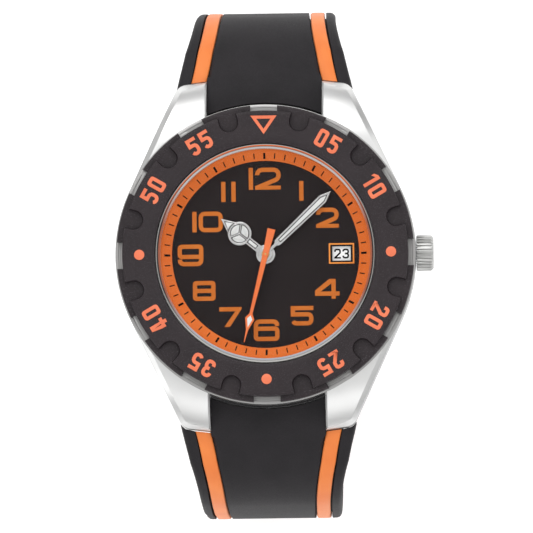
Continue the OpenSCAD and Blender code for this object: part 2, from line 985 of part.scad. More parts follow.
module date_numerals() {
    color(black)
    plate(6.4, 6.42)
        for (i = [0 : disc_teeth - 1])
            let (day = (shown_date - 1 + i) % disc_teeth + 1)
                rotate(i * 360 / disc_teeth)
                    translate([date_x, 0])
                        if (day < 10)
                            digit(day, date_digit.x, date_digit.y, date_stroke);
                        else
                            digit_pair([floor(day / 10), day % 10], date_digit.x, date_digit.y,
                                date_stroke, 0.2);
}

module calendar_plate() {
    color(brass)
    difference() {
        ring(8.9, 2.2, 6.44, 6.54);
        at(date_pos)
            disc(0.3, 6, 7);
    }
}

// ---- Movement frame ------------------------------------------------------

module main_plate() {
    color(brass)
    difference() {
        union() {
            disc(plate_r, plate_bottom, plate_top);
            // Rim that carries the dial, and the shelf under the date disc
            ring(plate_r, 12.2, plate_top - eps, dial_bottom);
            ring(12.25, 9, plate_top - eps, 6.15);
            for (p = clamp_screws)
                at(p)
                    disc(pillar_r, clamp_z + clamp_t + fit, plate_bottom + 0.1);
            for (p = bridge_screws)
                at(p)
                    disc(pillar_r, bridge_top + fit, plate_bottom + 0.1);
        }
        disc(tube_r + 0.06, 4, 6);
        for (p = [rotor_pos, fifth_pos, third_pos])
            at(p)
                disc(arbor_r + run, plate_bottom - 1, plate_bottom + 0.25);
        for (p = [minute_pos, setting_pos])
            at(p)
                disc(0.15 + run, plate_top - 0.3, plate_top + 1);
        at(date_pos)
            disc(0.2 + run, plate_top - 0.3, plate_top + 1);
        for (p = concat(clamp_screws, bridge_screws))
            at(p)
                disc(screw_r + fit, 0, plate_bottom + 0.45);
        for (a = [75, 255])
            rotate(a)
                translate([12.5, 0, dial_bottom - 0.75])
                    cylinder(r = 0.22, h = 2);
        // Channel of the stem and the window of the sliding pinion
        translate([4.2, -0.6, plate_bottom - 1])
            cube([10, 1.2, stem_z + 0.55 - plate_bottom + 1]);
        translate([pinion_x[0] - 0.2, -1, plate_bottom - 1])
            cube([pinion_x[1] - pinion_x[0] + 0.4, 2, 3]);
        at(lever_pivot)
            disc(0.35, plate_bottom - 1, plate_bottom + 0.45);
    }
}

module train_bridge() {
    color([0.80, 0.78, 0.72])
    difference() {
        union() {
            plate(bridge_bottom, bridge_top)
                polygon([rotor_pos, bridge_screws[1], [2.9, -2.5], third_pos, bridge_screws[0],
                    bridge_screws[2]]);
            for (p = concat(bridge_screws, [rotor_pos, third_pos]))
                at(p)
                    disc(1.2, bridge_bottom, bridge_top);
        }
        for (p = [rotor_pos, fifth_pos, third_pos])
            at(p)
                disc(arbor_r + run, 2, 3);
        disc(second_arbor_r + run, 2, 3);
        for (p = bridge_screws)
            at(p)
                disc(screw_r + fit, 2, 3);
    }
}

module stator() {
    color([0.62, 0.63, 0.65])
    difference() {
        union() {
            at(rotor_pos)
                disc(1.85, stator_z, stator_z + stator_t);
            rotate(rotor_angle)
                for (s = [-1, 1])
                    plate(stator_z, stator_z + stator_t)
                        polygon([[norm(rotor_pos) - 0.6, s * 1.6], [norm(rotor_pos) + 1.4, s * 0.6],
                            [coil_distance - 0.8, s * (coil_length / 2 - 0.6)],
                            [coil_distance + 0.8, s * (coil_length / 2 - 0.6)],
                            [coil_distance + 0.8, s * (coil_length / 2 + 1)],
                            [coil_distance - 1.4, s * (coil_length / 2 + 1)]]);
        }
        at(rotor_pos)
            disc(1.4, stator_z - eps, stator_z + 1);
        rotate(rotor_angle)
            translate([coil_distance, coil_length / 2 - 0.3, coil_z])
                rotate([90, 0, 0])
                    cylinder(r = coil_r + 0.15, h = coil_length - 0.6);
    }
}

module coil() {
    color(copper)
    rotate(rotor_angle)
        translate([coil_distance, 0, coil_z])
            rotate([90, 0, 0]) {
                cylinder(r = coil_r, h = coil_length - 1.6, center = true);
                for (s = [-1, 1])
                    translate([0, 0, s * (coil_length / 2 - 0.6)])
                        cylinder(r = coil_r + 0.02, h = 0.4, center = true);
            }
}

module board_plan() {
    intersection() {
        difference() {
            circle(12.2);
            circle(7.0);
        }
        polygon([[0, 0], polar(20, 192), polar(20, 228), polar(20, 262)]);
    }
}

module circuit_board() {
    color(board_green)
    plate(3.0, 3.25)
        board_plan();
    // Control chip under its protective cap
    color(black)
    rotate(250)
        translate([8.4, -1, 3.2])
            cube([2.2, 2, 0.65]);
}

module quartz_can() {
    color([0.82, 0.82, 0.80])
    rotate(218)
        translate([9.6, 0, 4.02])
            rotate([90, 0, 0])
                cylinder(r = 0.75, h = 5.2, center = true);
}

module battery() {
    color([0.80, 0.80, 0.78])
    at(battery_pos) {
        disc(battery_r, battery_bottom + 0.25, battery_top);
        disc(battery_r - 0.55, battery_bottom, battery_bottom + 0.3);
    }
}

module battery_clamp() {
    a = clamp_screws[0];
    b = clamp_screws[1];
    dir = atan2(b.y - a.y, b.x - a.x);
    color([0.75, 0.74, 0.68])
    difference() {
        plate(clamp_z, clamp_z + clamp_t) {
            translate(a)
                rotate(dir)
                    rect(0, -0.8, norm(b - a), 0.8);
            for (p = [a, b])
                translate(p)
                    circle(0.95);
        }
        for (p = [a, b])
            at(p)
                disc(screw_r + fit, 1, 3);
    }
}

module screw(head_z, end_z) {
    difference() {
        union() {
            disc(0.72, head_z - 0.3, head_z);
            disc(screw_r, head_z - 0.05, end_z);
        }
        translate([-1, -0.08, head_z - 0.6])
            cube([2, 0.16, 0.45]);
    }
}

module movement_screws() {
    color([0.55, 0.56, 0.60]) {
        for (p = clamp_screws)
            at(p)
                screw(clamp_z, plate_bottom + 0.4);
        for (p = bridge_screws)
            at(p)
                screw(bridge_bottom, plate_bottom + 0.4);
    }
}

module movement_holder() {
    color([0.90, 0.90, 0.88])
    difference() {
        ring(cavity_r - run, plate_r + run, skirt_top + run, dial_bottom - run);
        x_rod(0.7, plate_r - 1, cavity_r + 1, 0, stem_z);
    }
}

// ---- Crown and setting work ----------------------------------------------

module along_x(x0, x1) {
    translate([x0, 0, stem_z])
        rotate([90, 0, 90])
            linear_extrude(x1 - x0)
                children();
}

crown_start = 20.25;
flute_depth = 0.22;

module crown() {
    color(steel)
    difference() {
        intersection() {
            along_x(crown_start, crown_end)
                polygon([for (i = [0 : crown_flutes - 1],
                        k = [[crown_r - flute_depth, -0.5], [crown_r - flute_depth, -0.3],
                            [crown_r, -0.16], [crown_r, 0.16], [crown_r - flute_depth, 0.3]])
                    polar(k[0], (i + k[1]) * 360 / crown_flutes)]);
            translate([crown_start, 0, stem_z])
                rotate([0, 90, 0])
                    rotate_extrude()
                        polygon([[0, 0], [crown_r - 0.12, 0], [crown_r, 0.12],
                            [crown_r, crown_end - crown_start - 0.35],
                            [crown_r - 0.35, crown_end - crown_start], [0, crown_end - crown_start]]);
        }
        x_rod(1.5, crown_start - 1, 21.95, 0, stem_z);
        x_rod(stem_r, crown_start, 22.25, 0, stem_z);
    }
}

module crown_gasket() {
    color(black)
    difference() {
        x_rod(1.5 - fit, 20.35, 20.65, 0, stem_z);
        x_rod(1.1 + 0.03, 20, 21, 0, stem_z);
    }
}

module crown_tube() {
    color(steel)
    difference() {
        x_rod(1.1, 15.1, 21.85, 0, stem_z);
        x_rod(stem_r + run, 15, 22, 0, stem_z);
    }
}

module stem() {
    color([0.70, 0.71, 0.74])
    difference() {
        union() {
            x_rod(0.25, 4.3, 4.7, 0, stem_z);
            along_x(4.6, 8.2)
                square(0.62, center = true);
            x_rod(stem_r, 8.1, 22.25, 0, stem_z);
        }
        // Groove that the setting lever's pin rides in
        difference() {
            x_rod(1, groove_x - 0.36, groove_x + 0.36, 0, stem_z);
            x_rod(0.28, groove_x - 1, groove_x + 1, 0, stem_z);
        }
    }
}

module sliding_pinion() {
    color([0.70, 0.71, 0.74])
    difference() {
        along_x(pinion_x[0], pinion_x[1])
            polygon(gear_points(14, 0.105, 0));
        along_x(pinion_x[0] - 1, pinion_x[1] + 1)
            square(0.62 + 2 * run, center = true);
        difference() {
            x_rod(2, 6.2, 6.6, 0, stem_z);
            x_rod(0.52, 6, 7, 0, stem_z);
        }
    }
}

module setting_lever() {
    color([0.70, 0.71, 0.74])
    at(lever_pivot) {
        disc(0.3, 3.9, plate_bottom + 0.4);
        rotate(lever_rest) {
            plate(4.0, 4.3) {
                circle(0.65);
                rect(-0.3, 0, 0.3, -lever_pivot.y);
                translate([0, -lever_pivot.y])
                    circle(0.3);
                polygon([[-0.3, 0], [0.3, 0], [0.9, -1.1], [0.45, -1.05]]);
            }
            translate([0, -lever_pivot.y, 0])
                disc(0.22, 4.2, stem_z - 0.32);
        }
    }
}

// ---- Strap ---------------------------------------------------------------

// Side view of the 12 o'clock half: inner and outer surface from the case to the buckle bar
half_12_profile = concat(
    [loop_start - 3 * [cos(heading_start), -sin(heading_start)]],
    [for (h = headings) loop_point(h)],
    arc([-buckle_bar_y, bar_centre.y], strap_end_t / 2, 90, 270, 8),
    [for (h = reversed(headings)) off_loop(h, thickness(h))],
    [off_loop(heading_start, strap_t) - 3 * [cos(heading_start), -sin(heading_start)]]
);

// The 6 o'clock half crosses from the inner to the outer layer inside the buckle
cross_steps = 10;
function cross_y(i) = cross_from + (cross_to - cross_from) * i / cross_steps;
function cross_drop(i) = (strap_end_t + layer_gap) * smooth(i / cross_steps);
half_6_inner = concat(
    mirrored([for (h = headings) loop_point(h)]),
    [for (i = [0 : cross_steps]) [-cross_y(i), inner_z - cross_drop(i)]],
    [for (h = tail_headings) off_loop(h, thickness(h) + layer_gap)]
);
half_6_outer = concat(
    mirrored([for (h = headings) off_loop(h, thickness(h))]),
    [for (i = [0 : cross_steps]) [-cross_y(i), inner_z - strap_end_t - cross_drop(i)]],
    [for (h = tail_headings) off_loop(h, thickness(h) + layer_gap + strap_end_t)]
);
half_6_start = mirrored([loop_start - 3 * [cos(heading_start), -sin(heading_start)],
    off_loop(heading_start, strap_t) - 3 * [cos(heading_start), -sin(heading_start)]]);

// Half width that narrows from w[0] at the lug ends to w[1] where the strap turns down
function flare(w, y) = w[1] + (w[0] - w[1]) * pow(1 - min(1, (y - lug_reach) / flare_length), 2);
function flare_line(w, start) =
    [for (i = [0 : 12]) let (y = start + (lug_reach + flare_length + 1 - start) * i / 12)
        [flare(w, y), y]];

// Room of the strap seen from above: the tongue between the lugs and the flared shoulders
module strap_plan() {
    start = lug_reach + 0.1;
    difference() {
        union() {
            polygon(both(flare_line([strap_lug_half, strap_half], start)));
            rect(-lug_gap / 2 + 0.1, 15, lug_gap / 2 - 0.1, start + 1);
        }
        circle(case_r + 0.1);
    }
}

strap_split_z = -17;

module strap_room(s) {
    mirror([0, s, 0])
        plate(strap_split_z, 6)
            strap_plan();
    translate([-strap_half, -50, floor_z - 1])
        cube([2 * strap_half, 100, strap_split_z - floor_z + 1]);
}

// Room of the two stripes, widened by w on each side
module stripe_room(s, w) {
    start = lug_reach + 0.1;
    both_sides() {
        mirror([0, s, 0])
            plate(strap_split_z, 6)
                polygon(concat(flare_line(stripe_out + [w, w], start),
                    reversed(flare_line(stripe_in - [w, w], start))));
        translate([stripe_in[1] - w, -50, floor_z - 1])
            cube([stripe_out[1] - stripe_in[1] + 2 * w, 100, strap_split_z - floor_z + 1]);
    }
}

stripe_12_headings = [for (h = headings) if (h < 175) h];
stripe_12_profile = concat(
    [for (h = stripe_12_headings) off_loop(h, thickness(h) - stripe_depth)],
    [for (h = reversed(stripe_12_headings)) off_loop(h, thickness(h) + 0.02)]
);
stripe_6_profile = mirrored(stripe_12_profile);
bar_bore_r = 0.8;

module strap_12() {
    color(rubber)
    difference() {
        intersection() {
            side_plate(-12, 12)
                polygon(half_12_profile);
            strap_room(0);
        }
        intersection() {
            side_plate(-12, 12)
                polygon(stripe_12_profile);
            stripe_room(0, fit);
        }
        x_rod(bar_bore_r, -13, 13, bar_y, bar_z);
        x_rod(bar_bore_r, -13, 13, bar_centre.x, bar_centre.y);
        // Notch for the buckle tongue
        translate([-1.7, bar_centre.x - 2, bar_centre.y - 2])
            cube([3.4, 3.4, 4]);
    }
}

// Adjustment hole with round ends, drawn along the strap
module hole_plan(length, width) {
    square([width, length - width], center = true);
    for (s = [-1, 1])
        translate([0, s * (length - width) / 2])
            circle(width / 2);
}

tongue_hole_y = -7.6;

module strap_6() {
    color(rubber)
    difference() {
        intersection() {
            side_plate(-12, 12)
                polygon(concat([half_6_start[0]], half_6_inner, reversed(half_6_outer),
                    [half_6_start[1]]));
            strap_room(1);
        }
        intersection() {
            side_plate(-12, 12)
                polygon(stripe_6_profile);
            stripe_room(1, fit);
        }
        x_rod(bar_bore_r, -13, 13, -bar_y, bar_z);
        translate([0, tongue_hole_y, floor_z])
            linear_extrude(8)
                hole_plan(6.0, 2.2);
        // Spare holes on the flat stretch, and on the bend at both ends of it
        for (i = [1 : 3])
            translate([0, tongue_hole_y + i * hole_pitch, floor_z])
                linear_extrude(5)
                    hole_plan(3.2, 2);
        for (s = [-1, 1], i = [1, 2])
            translate([0, s * flat_y, inner_z + low_bend_r])
                rotate([s * i * 19, 0, 0])
                    translate([0, 0, -low_bend_r - 5.5])
                        linear_extrude(s > 0 ? 3.3 : 6)
                            hole_plan(3.2, 2);
    }
}

module stripes(s, profile) {
    color(orange)
    intersection() {
        side_plate(-12, 12)
            polygon(profile);
        stripe_room(s, 0);
        if (s == 0)
            strap_room(0);
        else
            strap_room(1);
    }
}

module strap_stripes_12() {
    stripes(0, stripe_12_profile);
}

module strap_stripes_6() {
    stripes(1, stripe_6_profile);
}

module spring_bar(y) {
    color(steel) {
        x_rod(0.75, -lug_gap / 2 + 0.15, lug_gap / 2 - 0.15, y, bar_z);
        x_rod(0.45, -9.1, 9.1, y, bar_z);
    }
}

module spring_bar_12() {
    spring_bar(bar_y);
}

module spring_bar_6() {
    spring_bar(-bar_y);
}

// ---- Buckle and keepers --------------------------------------------------

arm_in = strap_half + 0.3;
arm_out = arm_in + 1.9;
front_bar_w = 2.2;
front_bar_top = inner_z - strap_end_t - 0.3;
tongue_t = 0.8;
tongue_half = 0.8;
// The tongue's centre line, from its ring round the bar to its tip on the front bar
tongue_line = [[-3.3, bar_centre.y - 0.25], [-5.9, bar_centre.y - 0.5],
    [-9.9, floor_z + 1.35], [-12.2, floor_z + 0.75], [-front_bar_y + 0.35, floor_z + 0.65]];

module buckle_frame() {
    color(steel)
    difference() {
        union() {
            both_sides()
                side_plate(arm_in, arm_out) {
                    translate(bar_centre)
                        circle(1.6);
                    polygon([bar_centre + [0, 1.6], [-front_bar_y, front_bar_top],
                        [-front_bar_y, floor_z], [-front_bar_y + front_bar_w, floor_z],
                        bar_centre + [0.4, -1.55]]);
                }
            side_plate(-arm_out, arm_out)
                rect(-front_bar_y, floor_z, -front_bar_y + front_bar_w, front_bar_top);
        }
        x_rod(0.5, -arm_out - 1, arm_out + 1, bar_centre.x, bar_centre.y);
        // Seat of the tongue's tip
        translate([-tongue_half - 0.1, -front_bar_y - 1, floor_z - 1])
            cube([2 * tongue_half + 0.2, front_bar_w + 2, 2.2]);
    }
}

module buckle_tongue() {
    color(steel)
    difference() {
        union() {
            x_rod(1.1, -1.3, 1.3, bar_centre.x, bar_centre.y);
            side_plate(-tongue_half, tongue_half)
                stroke(tongue_line, tongue_t);
        }
        x_rod(bar_bore_r, -2, 2, bar_centre.x, bar_centre.y);
    }
}

module buckle_bar() {
    color(steel) {
        x_rod(0.75, -arm_in + 0.1, arm_in - 0.1, bar_centre.x, bar_centre.y);
        x_rod(0.45, -arm_out + 0.5, arm_out - 0.5, bar_centre.x, bar_centre.y);
    }
}

module keeper(y0, y1) {
    inside_w = 2 * strap_half + 0.2;
    inside_h = inner_z - outer_z + 0.2;
    color(rubber)
    translate([0, y1, (inner_z + outer_z) / 2])
        rotate([90, 0, 0])
            linear_extrude(y1 - y0)
                difference() {
                    polygon(rounded_points(inside_w + 2 * keeper_t, inside_h + 2 * keeper_t, 1.4, 8));
                    polygon(rounded_points(inside_w, inside_h, 0.3, 3));
                }
}

module fixed_keeper() {
    keeper(0.6, 4.8);
}

module free_keeper() {
    keeper(8.6, 12.8);
}

// ---- Selection -----------------------------------------------------------

case_body();
case_back();
case_back_gasket();
crystal();
crystal_gasket();
bezel_ring();
bezel_markings();
bezel_click_spring();
bezel_retaining_wire();
minute_flange();
flange_ticks();
dial();
dial_numerals();
date_window_frame();
hour_hand();
hour_hand_lume();
minute_hand();
minute_hand_lume();
second_hand();
second_hand_lume();
hour_wheel();
center_wheel();
fourth_wheel();
third_wheel();
fifth_wheel();
rotor();
minute_wheel();
setting_wheel();
date_driving_wheel();
date_disc();
date_numerals();
calendar_plate();
main_plate();
train_bridge();
stator();
coil();
circuit_board();
quartz_can();
battery();
battery_clamp();
movement_screws();
movement_holder();
crown();
crown_gasket();
crown_tube();
stem();
sliding_pinion();
setting_lever();
strap_12();
strap_6();
strap_stripes_12();
strap_stripes_6();
spring_bar_12();
spring_bar_6();
buckle_frame();
buckle_tongue();
buckle_bar();
fixed_keeper();
free_keeper();
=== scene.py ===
"""Looks of a quartz dive watch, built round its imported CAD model.

Lengths are in millimetres until mesh_object() turns them into metres. The frame is the
CAD's: +Z out of the dial, +Y to 12 o'clock, +X to the crown, origin on the case back.
"""

import json
import math

import bmesh
import bpy
from mathutils import Matrix, Vector


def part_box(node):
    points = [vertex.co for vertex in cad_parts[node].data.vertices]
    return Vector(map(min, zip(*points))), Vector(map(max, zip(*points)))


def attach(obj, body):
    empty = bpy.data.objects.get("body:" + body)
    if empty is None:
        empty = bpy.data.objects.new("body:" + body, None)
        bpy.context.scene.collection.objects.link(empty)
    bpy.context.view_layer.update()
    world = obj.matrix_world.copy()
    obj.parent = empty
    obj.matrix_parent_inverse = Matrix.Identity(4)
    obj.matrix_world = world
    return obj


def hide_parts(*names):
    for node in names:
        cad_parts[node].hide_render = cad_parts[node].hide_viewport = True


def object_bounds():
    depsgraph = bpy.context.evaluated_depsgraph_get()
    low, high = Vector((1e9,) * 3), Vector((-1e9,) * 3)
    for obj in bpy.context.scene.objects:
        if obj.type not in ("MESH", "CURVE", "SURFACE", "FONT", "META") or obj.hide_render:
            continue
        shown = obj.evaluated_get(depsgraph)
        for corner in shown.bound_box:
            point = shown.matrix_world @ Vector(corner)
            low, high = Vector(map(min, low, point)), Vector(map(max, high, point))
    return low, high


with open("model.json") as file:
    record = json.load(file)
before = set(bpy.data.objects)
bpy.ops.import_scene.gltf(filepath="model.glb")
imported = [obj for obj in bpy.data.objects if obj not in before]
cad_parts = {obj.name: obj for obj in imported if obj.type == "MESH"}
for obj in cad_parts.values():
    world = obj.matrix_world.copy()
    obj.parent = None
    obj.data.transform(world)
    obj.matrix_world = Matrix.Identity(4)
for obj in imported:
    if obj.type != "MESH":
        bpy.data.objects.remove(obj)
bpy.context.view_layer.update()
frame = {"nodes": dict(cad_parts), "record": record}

MM = 0.001
TAU = 2 * math.pi


def cad(node):
    """Lowest and highest corner of a CAD node, in millimetres."""
    low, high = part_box(node)
    return low / MM, high / MM


def sind(a):
    return math.sin(math.radians(a))


def cosd(a):
    return math.cos(math.radians(a))


def polar(r, degrees):
    a = math.radians(degrees)
    return (r * math.cos(a), r * math.sin(a))


def smooth(t):
    t = min(max(t, 0.0), 1.0)
    return t * t * (3 - 2 * t)


# ---- Materials -------------------------------------------------------------

# A point of each axis, and the directions across it
DIAL_AXIS = ((0, 0, 0), (1, 1, 0))
STEM_AXIS = ((0, 0, 4.9 * MM), (0, 1, 1))
# Where the painted reflections of crystal_edge_reflection() and the painted shade of
# under_bezel_shade() fade in, as pairs for between()
EDGE_TOP_Y, EDGE_BOTTOM_Y = (4.0, 9.5), (-5.0, -11.0)
EDGE_LINE_R = (14.56, 14.60)
EDGE_R_LIMIT, EDGE_Z_LIMIT = (14.78, 14.76), (9.2, 9.3)
TURNED_R_LIMIT, TURNED_Z_LIMIT = (20.25, 20.21), (7.2, 7.25)
# A face counts as upright, and gets painted shade from the flank colour, where its normal's Z
# falls from the second value to the first
UPRIGHT = (0.25, 0.60)


def link(tree, source, target):
    tree.links.new(source, target)


def coordinates(tree, stretch):
    """Object coordinates, multiplied by stretch along X, Y and Z."""
    where = tree.nodes.new("ShaderNodeTexCoord")
    mapping = tree.nodes.new("ShaderNodeMapping")
    mapping.inputs["Scale"].default_value = stretch
    link(tree, where.outputs["Object"], mapping.inputs["Vector"])
    return mapping.outputs["Vector"]


def ring_coordinates(tree, axis_xyz):
    """Distance from the watch's axis, or from the stem's, so that grain runs in circles."""
    where = tree.nodes.new("ShaderNodeTexCoord")
    shift = tree.nodes.new("ShaderNodeVectorMath")
    shift.operation = "SUBTRACT"
    shift.inputs[1].default_value = axis_xyz[0]
    flatten = tree.nodes.new("ShaderNodeVectorMath")
    flatten.operation = "MULTIPLY"
    flatten.inputs[1].default_value = axis_xyz[1]
    length = tree.nodes.new("ShaderNodeVectorMath")
    length.operation = "LENGTH"
    combine = tree.nodes.new("ShaderNodeCombineXYZ")
    link(tree, where.outputs["Object"], shift.inputs[0])
    link(tree, shift.outputs["Vector"], flatten.inputs[0])
    link(tree, flatten.outputs["Vector"], length.inputs[0])
    link(tree, length.outputs["Value"], combine.inputs["X"])
    return combine.outputs["Vector"]


def place_of(tree):
    """Distance from the dial's axis, Y and Z, in metres."""
    radius = tree.nodes.new("ShaderNodeSeparateXYZ")
    link(tree, ring_coordinates(tree, DIAL_AXIS), radius.inputs["Vector"])
    place = tree.nodes.new("ShaderNodeSeparateXYZ")
    link(tree, coordinates(tree, (1, 1, 1)), place.inputs["Vector"])
    return radius.outputs["X"], place.outputs["Y"], place.outputs["Z"]


def between(tree, value, low, high):
    """0 below low millimetres, 1 above high, or the other way round when high is lower."""
    if low < high:
        return remap(tree, value, 0.0, 1.0, low * MM, high * MM)
    return remap(tree, value, 1.0, 0.0, high * MM, low * MM)


def product(tree, a, b):
    both = tree.nodes.new("ShaderNodeMath")
    both.operation = "MULTIPLY"
    link(tree, a, both.inputs[0])
    link(tree, b, both.inputs[1])
    return both.outputs["Value"]


def crystal_edge_reflection(tree, colour, top, side, bottom, line=None):
    """Colours of the rings round the crystal: painted reflections of the flange below them."""
    radius, y, z = place_of(tree)
    ring = mix_colour(tree, between(tree, y, *EDGE_TOP_Y), side, top)
    ring = mix_colour(tree, between(tree, y, *EDGE_BOTTOM_Y), ring, bottom)
    if line:
        ring = mix_colour(tree, between(tree, radius, *EDGE_LINE_R), ring, line)
    inside = product(tree, between(tree, radius, *EDGE_R_LIMIT), between(tree, z, *EDGE_Z_LIMIT))
    return mix_colour(tree, inside, colour, ring)


def under_bezel_shade(tree):
    """1 on the case's turned face under the bezel, where painted shade darkens the steel, 0
    elsewhere.
    """
    radius, _, z = place_of(tree)
    return product(tree, between(tree, radius, *TURNED_R_LIMIT), between(tree, z, *TURNED_Z_LIMIT))


def noise(tree, vector, size_mm, detail=2.0):
    """Noise from 0 to 1 whose grains are about size_mm across."""
    n = tree.nodes.new("ShaderNodeTexNoise")
    n.inputs["Scale"].default_value = 1 / (size_mm * MM)
    n.inputs["Detail"].default_value = detail
    link(tree, vector, n.inputs["Vector"])
    return n.outputs["Fac"]


def remap(tree, value, low, high, from_low=0.3, from_high=0.7):
    """The value's span from from_low to from_high, clamped, as low to high."""
    m = tree.nodes.new("ShaderNodeMapRange")
    m.inputs["From Min"].default_value = from_low
    m.inputs["From Max"].default_value = from_high
    m.inputs["To Min"].default_value = low
    m.inputs["To Max"].default_value = high
    link(tree, value, m.inputs["Value"])
    return m.outputs["Result"]


def mix_colour(tree, factor, a, b):
    m = tree.nodes.new("ShaderNodeMix")
    m.data_type = "RGBA"
    sockets = [s for s in m.inputs if s.type == "RGBA"]
    for socket, colour in zip(sockets, (a, b)):
        if isinstance(colour, tuple):
            socket.default_value = (*colour, 1)
        else:
            link(tree, colour, socket)
    link(tree, factor, m.inputs["Factor"])
    return [s for s in m.outputs if s.type == "RGBA"][0]


def material(name, dark, light, rough, grain=0.1, bump=0.0, metallic=0.0, stretch=(1, 1, 1),
             rings=None, blotch=2.5, sockets=None, speck=None, shoulder=None, edge=None,
             flank=None):
    """A surface whose colour and roughness vary with a fine grain and with wider blotches.

    grain and blotch are sizes in millimetres, bump is the grain's depth in millimetres,
    speck is (size, share, colour) for fine flecks, shoulder is the painted shade of the turned
    face under the bezel, edge holds the painted reflections of crystal_edge_reflection(), and
    flank is the painted shade of upright faces.
    """
    m = bpy.data.materials.new(name)
    m.use_nodes = True
    tree = m.node_tree
    shader = tree.nodes["Principled BSDF"]
    vector = ring_coordinates(tree, rings) if rings else coordinates(tree, stretch)
    plain = coordinates(tree, (1, 1, 1))
    fine = noise(tree, vector, grain, 3.0)
    wide = noise(tree, plain, blotch, 2.0)
    colour = mix_colour(tree, remap(tree, wide, 0.0, 1.0), dark, light)
    colour = mix_colour(tree, remap(tree, fine, 0.0, 0.12 if metallic else 0.35), colour, light)
    if speck:
        size, share, fleck = speck
        spots = noise(tree, plain, size, 0.0)
        colour = mix_colour(tree, remap(tree, spots, 0.0, 1.0, 1 - share, 1 - share + 0.06),
                            colour, fleck)
    # Painted shade: the turned face under the bezel takes the darker shoulder colour
    if shoulder:
        colour = mix_colour(tree, under_bezel_shade(tree), colour, shoulder)
    # Painted shade: upright faces take the darker flank colour
    if flank:
        geometry = tree.nodes.new("ShaderNodeNewGeometry")
        split = tree.nodes.new("ShaderNodeSeparateXYZ")
        link(tree, geometry.outputs["Normal"], split.inputs["Vector"])
        upright = remap(tree, split.outputs["Z"], 1.0, 0.0, *UPRIGHT)
        colour = mix_colour(tree, upright, colour, flank)
    # Painted reflections of the flange on the rings round the crystal
    if edge:
        colour = crystal_edge_reflection(tree, colour, *edge)
    link(tree, colour, shader.inputs["Base Color"])
    link(tree, remap(tree, fine, rough[0], rough[1]), shader.inputs["Roughness"])
    shader.inputs["Metallic"].default_value = metallic
    for socket, value in (sockets or {}).items():
        shader.inputs[socket].default_value = value
    if bump:
        b = tree.nodes.new("ShaderNodeBump")
        b.inputs["Strength"].default_value = 1.0
        b.inputs["Distance"].default_value = bump * MM
        link(tree, fine, b.inputs["Height"])
        link(tree, b.outputs["Normal"], shader.inputs["Normal"])
    return m


